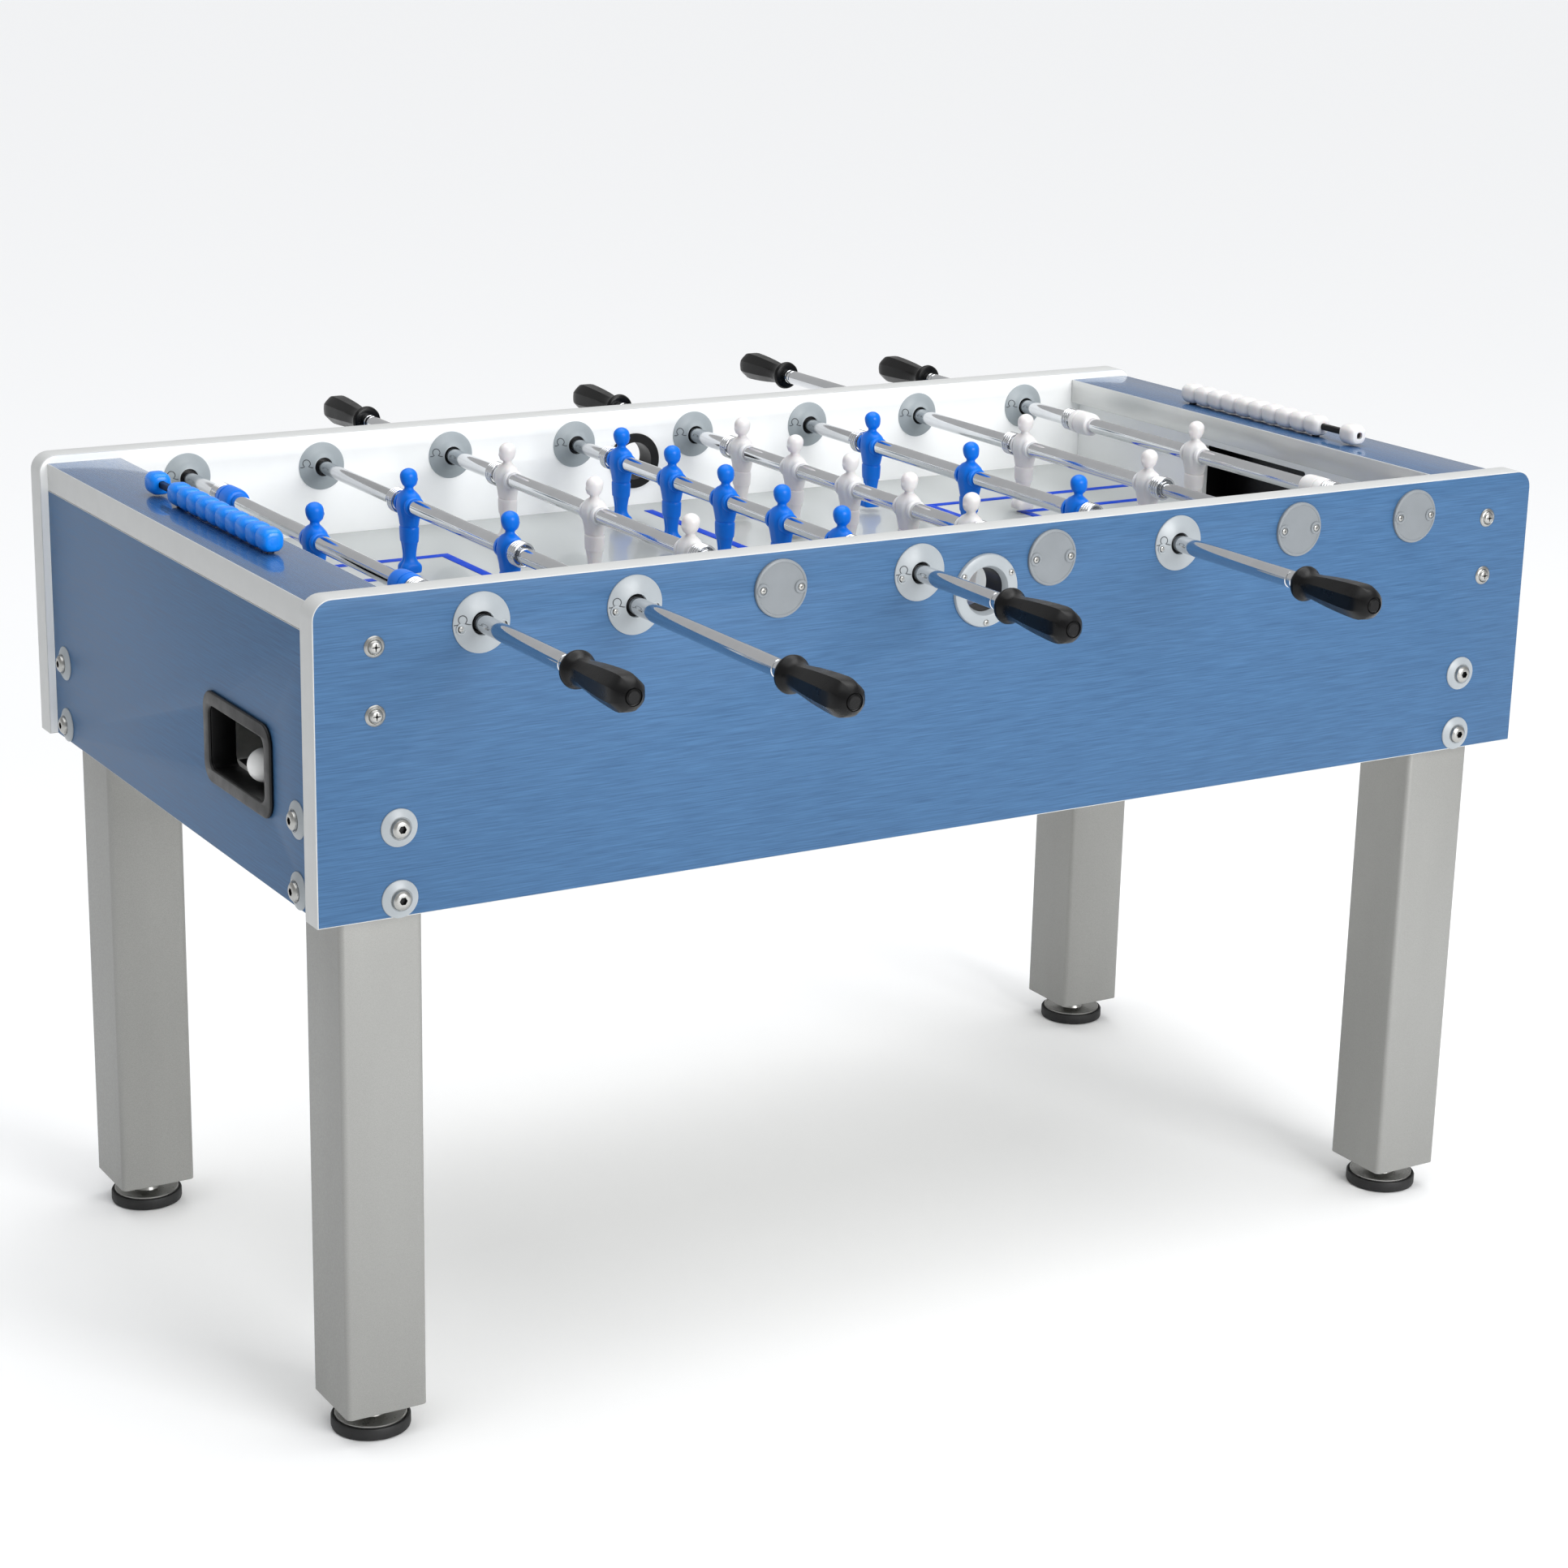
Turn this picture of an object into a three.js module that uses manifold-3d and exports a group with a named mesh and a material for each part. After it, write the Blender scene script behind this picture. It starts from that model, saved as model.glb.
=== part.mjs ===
// Foosball table with telescopic rods.
// Millimetres, +Z up, X along the table, Y across it (the front long side faces -Y).
// The two halves repeat each other turned 180 degrees about Z; only the team colours differ.
import * as THREE from 'three';
import { mergeVertices } from 'three/addons/utils/BufferGeometryUtils.js';
import Module from 'manifold-3d';

// ---- cabinet ----
const LENGTH = 1500;
const WIDTH = 800;
const SIDE_TOP = 890;
const SIDE_BOTTOM = 570;
const SIDE_THICK = 30;
const CORNER_R = 20;
const GAP = 0.3;
const INNER_Y = WIDTH / 2 - SIDE_THICK;
const END_X = 741;
const END_THICK = 25;
const TOP_INNER_X = 655;
const TOP_Z = 881;
const TOP_THICK = 30;
const GOAL_WALL_X = 669;
const GOAL_WALL_THICK = 8;
const GOAL_WIDTH = 200;
const GOAL_HEIGHT = 70;
const FIELD_Z = 770;
const FIELD_THICK = 18;

// ---- ball return ----
const FLOOR_Z = 652;
const FLOOR_THICK = 15;
const TRAY_Y = -188;
const TRAY_Z = 689;
const TRAY_FRAME = { width: 176, height: 96, radius: 20 };
const TRAY_HOLE = { width: 144, height: 66, radius: 10 };
const FRAME_PROUD = 4;
const RAMP_RISE = 24;
const ENTRY_Z = 825;
const ENTRY_HOLE_R = 23;
const ENTRY_RING_R = 39;

// ---- legs and feet ----
const LEG_SIDE = 88;
const LEG_OUT_X = 715;
const LEG_TOP = 700;
const LEG_BOTTOM = 32;
const LEG_WALL = 4;
const LEG_CORNER_R = 6;
const FOOT_R = 41;
const FOOT_HEIGHT = 13;
const STEM_R = 8;

// ---- rods ----
const ROD_PITCH = 165;
const ROD_Z = 852;
const TUBE_R = 9;
const TUBE_BORE_R = 8.3;
const BAR_R = 7.9;
const ROUND = 16;
const BEARING_R = 30;
const BEARING_SIDES = 12;
const BEARING_OUT = 5;
const BEARING_IN = 8;
const BORE_R = 9.6;
const POCKET_R = 8.6;
const POCKET_DEPTH = 16;
const SPRING_LENGTH = 18;
const BUMPER_Y = 231;
const BUMPER_R = 15;
const BUMPER_LENGTH = 36;
const HANDLE_LENGTH = 112;
const HANDLE_GRIP = 80;
const HANDLE_SIDES = 8;
const BAR_OVERLAP = 40;

// Every rod: player spacing, free length from the wall to the handle, travel each way.
const GOALIE = { players: [0], out: 195, travel: 90, bumpers: true };
const TWO = { players: [-126, 126], out: 295, travel: 200 };
const THREE_UP = { players: [-216, 0, 216], out: 210, travel: 110 };
const FIVE = { players: [-248, -124, 0, 124, 248], out: 160, travel: 78 };
const RODS = [
  { kind: GOALIE, team: 'blue', side: -1 },
  { kind: TWO, team: 'blue', side: -1 },
  { kind: THREE_UP, team: 'white', side: 1 },
  { kind: FIVE, team: 'blue', side: -1 },
  { kind: FIVE, team: 'white', side: 1 },
  { kind: THREE_UP, team: 'blue', side: -1 },
  { kind: TWO, team: 'white', side: 1 },
  { kind: GOALIE, team: 'white', side: 1 },
];

// ---- players ----
const PLAYER_HALF_WIDTH = 17;
const PLAYER_BORE_R = 9.8;
const PLAYER_BORE_SIDES = 10;
const FOOT_BOTTOM = -76;
const PLAYER_SEGMENTS = 8;
// Height above the rod axis, half width across, half depth front to back.
const PLAYER_SECTIONS = [
  [-66, 7, 6],
  [-26, 13.5, 9],
  [-17, 12.5, 9],
  [0, 17, 14],
  [10, 17, 12],
  [16, 7, 6],
  [20, 6, 6],
  [26, 9, 9.5],
  [33, 9, 9.5],
  [39, 5, 5.5],
];
const PLAYER_TOP = 41;

// ---- score counters ----
const SCORE_X = 691;
const SCORE_BAR_HALF = 165;
const SCORE_POST_Y = [-155, 88];
const SCORE_POST = 6;
const SCORE_BAR = 7;
const SCORE_LIFT = 13.5;
const BEAD_R = 12;
const BEAD_LENGTH = 27;
const BEAD_BORE = 8.4;
const BEAD_Y = 155;

const wasm = await Module();
wasm.setup();

// A closed three.js geometry as a solid for cutting and joining.
function solid(geometry) {
  const source = geometry.index ? geometry.toNonIndexed() : geometry.clone();
  source.deleteAttribute('normal');
  source.deleteAttribute('uv');
  const merged = mergeVertices(source, 1e-4);
  const mesh = new wasm.Mesh({
    numProp: 3,
    vertProperties: new Float32Array(merged.attributes.position.array),
    triVerts: new Uint32Array(merged.index.array),
  });
  return new wasm.Manifold(mesh);
}

function geometryOf(shape) {
  const mesh = shape.getMesh();
  const geometry = new THREE.BufferGeometry();
  geometry.setAttribute('position', new THREE.BufferAttribute(new Float32Array(mesh.vertProperties), 3));
  geometry.setIndex(new THREE.BufferAttribute(new Uint32Array(mesh.triVerts), 1));
  geometry.computeVertexNormals();
  return geometry;
}

function box(x0, x1, y0, y1, z0, z1) {
  const geometry = new THREE.BoxGeometry(x1 - x0, y1 - y0, z1 - z0);
  geometry.translate((x0 + x1) / 2, (y0 + y1) / 2, (z0 + z1) / 2);
  return solid(geometry);
}

function lathe(profile, segments) {
  return new THREE.LatheGeometry(profile.map(([r, h]) => new THREE.Vector2(r, h)), segments);
}

// A round bar along Y between y0 and y1, centred on (x, z).
function roundY(radius, y0, y1, x, z, segments) {
  const geometry = new THREE.CylinderGeometry(radius, radius, y1 - y0, segments);
  geometry.translate(x, (y0 + y1) / 2, z);
  return solid(geometry);
}

function roundedRect(width, height, radius, cx = 0, cy = 0) {
  const shape = new THREE.Shape();
  const w = width / 2 - radius;
  const h = height / 2 - radius;
  shape.absarc(cx + w, cy + h, radius, 0, Math.PI / 2);
  shape.absarc(cx - w, cy + h, radius, Math.PI / 2, Math.PI);
  shape.absarc(cx - w, cy - h, radius, Math.PI, 1.5 * Math.PI);
  shape.absarc(cx + w, cy - h, radius, 1.5 * Math.PI, 2 * Math.PI);
  return shape;
}

// A shape drawn in (Y, Z) and extruded along X from x0 to x1.
function extrudeX(shape, x0, x1, curveSegments) {
  const geometry = new THREE.ExtrudeGeometry(shape, { depth: x1 - x0, bevelEnabled: false, curveSegments });
  geometry.rotateX(Math.PI / 2);
  geometry.rotateZ(Math.PI / 2);
  geometry.translate(x0, 0, 0);
  return solid(geometry);
}

function turned(shape) {
  return shape.rotate([0, 0, 180]);
}

const rodX = (index) => (index - (RODS.length - 1) / 2) * ROD_PITCH;

// Front side panel: rounded top corners, a bearing or a blank cap at every rod, the ball entry in the middle.
function sidePanel() {
  const half = LENGTH / 2;
  const outline = new THREE.Shape();
  outline.moveTo(-half, SIDE_BOTTOM);
  outline.lineTo(half, SIDE_BOTTOM);
  outline.absarc(half - CORNER_R, SIDE_TOP - CORNER_R, CORNER_R, 0, Math.PI / 2);
  outline.absarc(CORNER_R - half, SIDE_TOP - CORNER_R, CORNER_R, Math.PI / 2, Math.PI);
  outline.closePath();
  const board = new THREE.ExtrudeGeometry(outline, { depth: SIDE_THICK, bevelEnabled: false, curveSegments: 5 });
  board.rotateX(Math.PI / 2);
  board.translate(0, -INNER_Y, 0);
  const outer = -WIDTH / 2;
  const inner = -INNER_Y;
  let panel = solid(board);
  panel = panel.add(roundY(ENTRY_RING_R, outer - BEARING_OUT, outer + 1, 0, ENTRY_Z, ROUND));
  RODS.forEach((rod, index) => {
    const x = rodX(index);
    panel = panel.add(roundY(BEARING_R, outer - BEARING_OUT, outer + 1, x, ROD_Z, BEARING_SIDES));
    panel = panel.add(roundY(BEARING_R - 2, inner - 1, inner + BEARING_IN, x, ROD_Z, BEARING_SIDES));
  });
  panel = panel.subtract(roundY(ENTRY_HOLE_R, outer - 10, inner + 10, 0, ENTRY_Z, ROUND));
  RODS.forEach((rod, index) => {
    const x = rodX(index);
    const bore = rod.side < 0
      ? roundY(BORE_R, outer - 10, inner + 20, x, ROD_Z, ROUND)
      : roundY(POCKET_R, inner - POCKET_DEPTH, inner + 20, x, ROD_Z, ROUND);
    panel = panel.subtract(bore);
  });
  return panel;
}

// Left end panel with the ball tray opening and its raised frame.
function endPanel() {
  const y = INNER_Y - GAP;
  const top = TOP_Z - TOP_THICK - GAP;
  const board = box(-END_X, -END_X + END_THICK, -y, y, SIDE_BOTTOM, top);
  const { width, height, radius } = TRAY_FRAME;
  const frame = extrudeX(roundedRect(width, height, radius, TRAY_Y, TRAY_Z), -END_X - FRAME_PROUD, -END_X + 5, 3);
  const hole = TRAY_HOLE;
  const opening = extrudeX(
    roundedRect(hole.width, hole.height, hole.radius, TRAY_Y, TRAY_Z), -END_X - 10, -END_X + END_THICK + 10, 3);
  return board.add(frame).subtract(opening);
}

// Left end top: the top board, the goal wall that hangs under it and the bar of the score counter.
function endTop() {
  const y = INNER_Y - GAP;
  const under = TOP_Z - TOP_THICK;
  const barZ = TOP_Z + SCORE_LIFT;
  const b = SCORE_BAR / 2;
  const slab = box(-END_X, -TOP_INNER_X, -y, y, under, TOP_Z);
  const wallX = -GOAL_WALL_X;
  const wall = box(wallX - GOAL_WALL_THICK, wallX, -y, y, FIELD_Z - FIELD_THICK, under + 1);
  const mouth = box(wallX - 20, wallX + 20, -GOAL_WIDTH / 2, GOAL_WIDTH / 2, FIELD_Z, FIELD_Z + GOAL_HEIGHT);
  let top = slab.add(wall).subtract(mouth);
  top = top.add(box(-SCORE_X - b, -SCORE_X + b, -SCORE_BAR_HALF, SCORE_BAR_HALF, barZ - b, barZ + b));
  for (const y of SCORE_POST_Y) {
    top = top.add(box(-SCORE_X - b, -SCORE_X + b, y - SCORE_POST / 2, y + SCORE_POST / 2, TOP_Z - 1, barZ));
  }
  return top;
}

function playfield() {
  const x = GOAL_WALL_X - GAP;
  const y = INNER_Y - GAP;
  return box(-x, x, -y, y, FIELD_Z - FIELD_THICK, FIELD_Z);
}

// Floor under the playfield, notched around the legs, with a ramp down to the tray at each end.
function returnFloor() {
  const x = END_X - END_THICK - GAP;
  const y = INNER_Y - GAP;
  const legX = LEG_OUT_X - LEG_SIDE - GAP;
  const legY = INNER_Y - GAP - LEG_SIDE - GAP;
  const z0 = FLOOR_Z - FLOOR_THICK;
  let floor = box(-x, x, -legY, legY, z0, FLOOR_Z).add(box(-legX, legX, -y, y, z0, FLOOR_Z));
  const low = TRAY_Y - TRAY_HOLE.width / 2;
  const high = GOAL_WIDTH / 2 + 20;
  const slope = new THREE.Shape();
  slope.moveTo(low, FLOOR_Z - 1);
  slope.lineTo(high, FLOOR_Z - 1);
  slope.lineTo(high, FLOOR_Z + RAMP_RISE);
  slope.lineTo(low, FLOOR_Z);
  slope.closePath();
  const ramp = extrudeX(slope, -x, -x + 70, 1);
  floor = floor.add(ramp).add(turned(ramp));
  return floor;
}

// Front left leg: square tube with a capped lower end, the stem and the cup-shaped levelling foot.
function leg() {
  const cx = -(LEG_OUT_X - LEG_SIDE / 2);
  const cy = -(INNER_Y - GAP - LEG_SIDE / 2);
  const height = LEG_TOP - LEG_BOTTOM;
  const inside = LEG_SIDE - 2 * LEG_WALL;
  const tube = new THREE.ExtrudeGeometry(
    roundedRect(LEG_SIDE, LEG_SIDE, LEG_CORNER_R), { depth: height, bevelEnabled: false, curveSegments: 2 });
  tube.translate(cx, cy, LEG_BOTTOM);
  const bore = new THREE.BoxGeometry(inside, inside, height);
  bore.translate(cx, cy, LEG_BOTTOM + LEG_WALL + height / 2);
  const foot = lathe([
    [0, 0],
    [FOOT_R, 0],
    [FOOT_R, FOOT_HEIGHT],
    [FOOT_R - 4, FOOT_HEIGHT],
    [STEM_R + 12, 7],
    [STEM_R, 7],
    [STEM_R, LEG_BOTTOM + 1],
    [0, LEG_BOTTOM + 1],
  ], ROUND);
  foot.rotateX(Math.PI / 2);
  foot.translate(cx, cy, 0);
  return solid(tube).subtract(solid(bore)).add(solid(foot));
}

// One player as cast: head, shoulders and legs in one piece with a block foot, bored for the rod.
function player(facing) {
  const profile = [[0, PLAYER_SECTIONS[0][0]]];
  for (const [z, across] of PLAYER_SECTIONS) {
    profile.push([across, z]);
  }
  profile.push([0, PLAYER_TOP]);
  const body = lathe(profile, PLAYER_SEGMENTS);
  body.rotateX(Math.PI / 2);
  const position = body.attributes.position;
  for (let i = 0; i < position.count; i += 1) {
    const section = PLAYER_SECTIONS.find(([z]) => Math.abs(z - position.getZ(i)) < 1e-3);
    const flatten = section ? section[2] / section[1] : 1;
    position.setX(i, position.getX(i) * flatten);
  }
  const side = new THREE.Shape();
  side.moveTo(-10, FOOT_BOTTOM);
  side.lineTo(9, FOOT_BOTTOM);
  side.lineTo(12, FOOT_BOTTOM + 9);
  side.lineTo(6, FOOT_BOTTOM + 20);
  side.lineTo(-6, FOOT_BOTTOM + 20);
  side.lineTo(-11, FOOT_BOTTOM + 8);
  side.closePath();
  const foot = new THREE.ExtrudeGeometry(side, { depth: 22, bevelEnabled: false });
  foot.translate(0, 0, -11);
  foot.rotateX(Math.PI / 2);
  const shape = solid(body).add(solid(foot)).subtract(roundY(PLAYER_BORE_R, -30, 30, 0, 0, PLAYER_BORE_SIDES));
  return facing > 0 ? shape : turned(shape);
}

// Rod pieces are drawn with their handle towards -Y and centred on the rod axis.
function tube({ out, travel, players, bumpers }) {
  const reach = bumpers
    ? BUMPER_Y + BUMPER_LENGTH / 2
    : Math.max(...players) + PLAYER_HALF_WIDTH;
  const free = reach + SPRING_LENGTH;
  const end = WIDTH / 2 + out + HANDLE_GRIP;
  const outline = [[TUBE_BORE_R, -end], [TUBE_R, -end]];
  if (bumpers) {
    for (const y of [-BUMPER_Y, BUMPER_Y]) {
      const y0 = y - BUMPER_LENGTH / 2;
      const y1 = y + BUMPER_LENGTH / 2;
      outline.push([TUBE_R, y0], [BUMPER_R, y0], [BUMPER_R, y1], [TUBE_R, y1]);
    }
  }
  outline.push([TUBE_R, free], [TUBE_BORE_R, free], [TUBE_BORE_R, -end]);
  return { shape: solid(lathe(outline, ROUND)), tip: free - travel - BAR_OVERLAP };
}

function guideBar(tip) {
  const root = INNER_Y + POCKET_DEPTH - 1;
  return roundY(BAR_R, tip, root, 0, 0, ROUND);
}

// Handle: flared collar, waist and a barrel that swells towards its rounded end.
function handle(out) {
  const start = WIDTH / 2 + out;
  const bore = TUBE_R + 0.8;
  const depth = HANDLE_GRIP + 2;
  const profile = [
    [0, depth],
    [bore, depth],
    [bore, 0],
    [17.5, 0],
    [18.5, 6],
    [13.5, 18],
    [14, 32],
    [18, 70],
    [18.5, 92],
    [14.5, 106],
    [9, HANDLE_LENGTH],
    [0, HANDLE_LENGTH],
  ];
  const geometry = lathe(profile, HANDLE_SIDES);
  geometry.rotateX(Math.PI);
  geometry.translate(0, -start, 0);
  return solid(geometry);
}

function bead() {
  const half = BEAD_LENGTH / 2;
  const profile = [[0, -half], [9, -half], [BEAD_R, -half + 5], [BEAD_R, half - 5], [9, half], [0, half]];
  const round = solid(lathe(profile, 12));
  const b = BEAD_BORE / 2;
  return round.subtract(box(-b, b, -half - 1, half + 1, -b, b)).translate([-SCORE_X, BEAD_Y, TOP_Z + SCORE_LIFT]);
}

const COLOURS = {
  laminate: 0x3d6ea5,
  white: 0xf0f0ee,
  field: 0xd6d8d8,
  dark: 0x26272a,
  leg: 0xa6a6a3,
  chrome: 0xc9ccd0,
  steel: 0xb2b5b8,
  handle: 0x17181a,
  bluePlayer: 0x0a5ad8,
  whitePlayer: 0xe4e1df,
};

const table = new THREE.Group();
table.name = 'foosball_table';

function place(name, shape, colour, metalness = 0, roughness = 0.5) {
  const material = new THREE.MeshStandardMaterial({ color: COLOURS[colour], metalness, roughness });
  const mesh = new THREE.Mesh(geometryOf(shape), material);
  mesh.name = name;
  table.add(mesh);
}

place('side_panel_front', sidePanel(), 'laminate');
place('side_panel_back', turned(sidePanel()), 'laminate');
place('end_panel_left', endPanel(), 'laminate');
place('end_panel_right', turned(endPanel()), 'laminate');
place('end_top_left', endTop(), 'laminate');
place('end_top_right', turned(endTop()), 'laminate');
place('playfield', playfield(), 'field');
place('return_floor', returnFloor(), 'white');

const LEGS = { front_left: [1, 1], front_right: [-1, 1], back_left: [1, -1], back_right: [-1, -1] };
for (const [corner, [mx, my]] of Object.entries(LEGS)) {
  let shape = leg();
  if (mx < 0) shape = shape.mirror([1, 0, 0]);
  if (my < 0) shape = shape.mirror([0, 1, 0]);
  place(`leg_${corner}`, shape, 'leg', 0.3);
}

RODS.forEach(({ kind, team, side }, index) => {
  const label = index + 1;
  const at = (shape) => (side < 0 ? shape : turned(shape)).translate([rodX(index), 0, ROD_Z]);
  const { shape, tip } = tube(kind);
  place(`tube_${label}`, at(shape), 'chrome', 1, 0.15);
  place(`guide_bar_${label}`, at(guideBar(tip)), 'steel', 1, 0.3);
  place(`handle_${label}`, at(handle(kind.out)), 'handle', 0, 0.4);
  kind.players.forEach((y, k) => {
    const figure = player(side < 0 ? 1 : -1).translate([rodX(index), y, ROD_Z]);
    place(`player_${label}_${k + 1}`, figure, team === 'blue' ? 'bluePlayer' : 'whitePlayer');
  });
});

place('score_bead_left', bead(), 'bluePlayer');
place('score_bead_right', turned(bead()), 'whitePlayer');

export default table;
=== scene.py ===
"""Foosball table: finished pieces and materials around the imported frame. Shapes are drawn in millimetres."""
import math
import bmesh
import bpy
from mathutils import Matrix, Vector


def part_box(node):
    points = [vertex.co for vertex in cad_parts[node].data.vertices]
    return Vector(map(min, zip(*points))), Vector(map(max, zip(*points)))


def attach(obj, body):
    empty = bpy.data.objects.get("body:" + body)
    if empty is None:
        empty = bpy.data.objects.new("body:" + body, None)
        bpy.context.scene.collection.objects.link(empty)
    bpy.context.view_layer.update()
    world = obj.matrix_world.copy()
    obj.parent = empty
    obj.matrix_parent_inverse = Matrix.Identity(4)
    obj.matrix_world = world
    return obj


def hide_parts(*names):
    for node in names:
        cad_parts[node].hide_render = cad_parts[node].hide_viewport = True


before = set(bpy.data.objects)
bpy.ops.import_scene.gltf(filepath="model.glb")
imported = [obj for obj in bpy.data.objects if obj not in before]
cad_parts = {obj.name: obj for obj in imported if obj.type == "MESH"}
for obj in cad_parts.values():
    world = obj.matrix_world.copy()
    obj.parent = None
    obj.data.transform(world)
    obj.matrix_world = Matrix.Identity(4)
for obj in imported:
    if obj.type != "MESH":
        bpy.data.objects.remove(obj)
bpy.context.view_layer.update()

MM = 0.001
RODS = range(1, 9)


def span(node):
    """Lowest and highest corner of a CAD node, in millimetres."""
    low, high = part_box(node)
    return Vector(low) / MM, Vector(high) / MM


# ---- places, read from the frame ----
PANEL_LOW, PANEL_HIGH = span("side_panel_back")
END_LOW, END_HIGH = span("end_panel_right")
TOP_LOW, TOP_HIGH = span("end_top_right")
FIELD_LOW, FIELD_HIGH = span("playfield")
GAP = 0.3
RELIEF_OUT = 5
RELIEF_IN = 8
LENGTH = PANEL_HIGH.x - PANEL_LOW.x
PANEL_OUTER_Y = PANEL_HIGH.y - RELIEF_OUT
PANEL_INNER_Y = PANEL_LOW.y + RELIEF_IN
PANEL_THICK = PANEL_OUTER_Y - PANEL_INNER_Y
PANEL_TOP, PANEL_BOTTOM = PANEL_HIGH.z, PANEL_LOW.z
ROD_Z = (span("guide_bar_1")[0].z + span("guide_bar_1")[1].z) / 2
ROD_X = {n: (span(f"guide_bar_{n}")[0].x + span(f"guide_bar_{n}")[1].x) / 2 for n in RODS}
# The side that a rod's handle is on: -1 front, 1 back.
ROD_SIDE = {n: -1 if span(f"handle_{n}")[0].y < 0 else 1 for n in RODS}
BLUE_RODS = [n for n in RODS if ROD_SIDE[n] < 0]
GOALIE_RODS = (1, 8)
PLAYERS = sorted(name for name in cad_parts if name.startswith("player_"))

# ---- sizes the frame's boxes don't give ----
PANEL_CORNER_R = 20
BEARING_R = 30
INNER_BEARING_R = 28
TUBE_R = 9
TUBE_BORE_R = 8.3
BAR_R = 7.9
SPRING_LENGTH = 18
BUMPER_Y, BUMPER_R, BUMPER_LENGTH = 231, 14.6, 36
BEARING_HOLE_R, FIXING_X = 13, 22
ENTRY_Z, ENTRY_R, ENTRY_HOLE_R, ENTRY_SCREW_R = 825, 39, 23, 34
CUP_SCREW_X, CUP_SCREW_Z = 688, (840, 773)
SIDE_BOLT_X, END_BOLT_Y, BOLT_Z = 665, 334, (660, 588.5)
# The ball tray's centre as seen from outside its end, and width, height and corner radius of its outlines.
TRAY_CENTRE = (188, 689)
TRAY_FRAME, TRAY_CUTOUT, TRAY_SLEEVE, TRAY_HOLE = (176, 96, 20), (151, 73, 13), (150, 72, 13), (144, 66, 10)
TRAY_FRAME_THICK, SHEET = 4, 2
LINER_Y, LINER_BACK_X, LINER_HEIGHT = (-262, -112), -648, 74
LINER_FLOOR_Z, LINER_MIDDLE_Z, LINER_ROOF_Z = 659, 698, 735
BALL_R, BALL_Y = 17.3, -203
END_THICK = 25
TOP_THICK = 30
TOP_Z = 881
GOAL_WALL_X, GOAL_WALL_THICK = 669, 8
GOAL_WIDTH, GOAL_HEIGHT, GOAL_BOX_DEPTH = 200, 70, 36
SCORE_X, SCORE_BAR, SCORE_LIFT = 691, 7, 13.5
SCORE_BAR_HALF, SCORE_POSTS, SCORE_POST = 165, (-155, 88), 6
BEAD_R, BEAD_LENGTH, BEAD_COUNT, STACK_START = 12, 27, 10, 101.5
LEG_SIDE, LEG_BOTTOM, LEG_WALL, LEG_CORNER_R = 88, 32, 4, 6
NUT_R, NUT_THICK = 13, 8
LINE_WIDTH, LINE_THICK, LINE_SUNK, CENTRE_CIRCLE_R, HALFWAY_MARGIN = 12, 0.6, 0.1, 92, 44
AREA_CORNERS = ((330, 210), (417, 130))


# ---- materials ----
def srgb(red, green, blue):
    """A colour given in 0-255 sRGB, as linear RGBA."""
    def linear(value):
        value /= 255
        return value / 12.92 if value <= 0.04045 else ((value + 0.055) / 1.055) ** 2.4
    return (linear(red), linear(green), linear(blue), 1.0)


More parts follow.
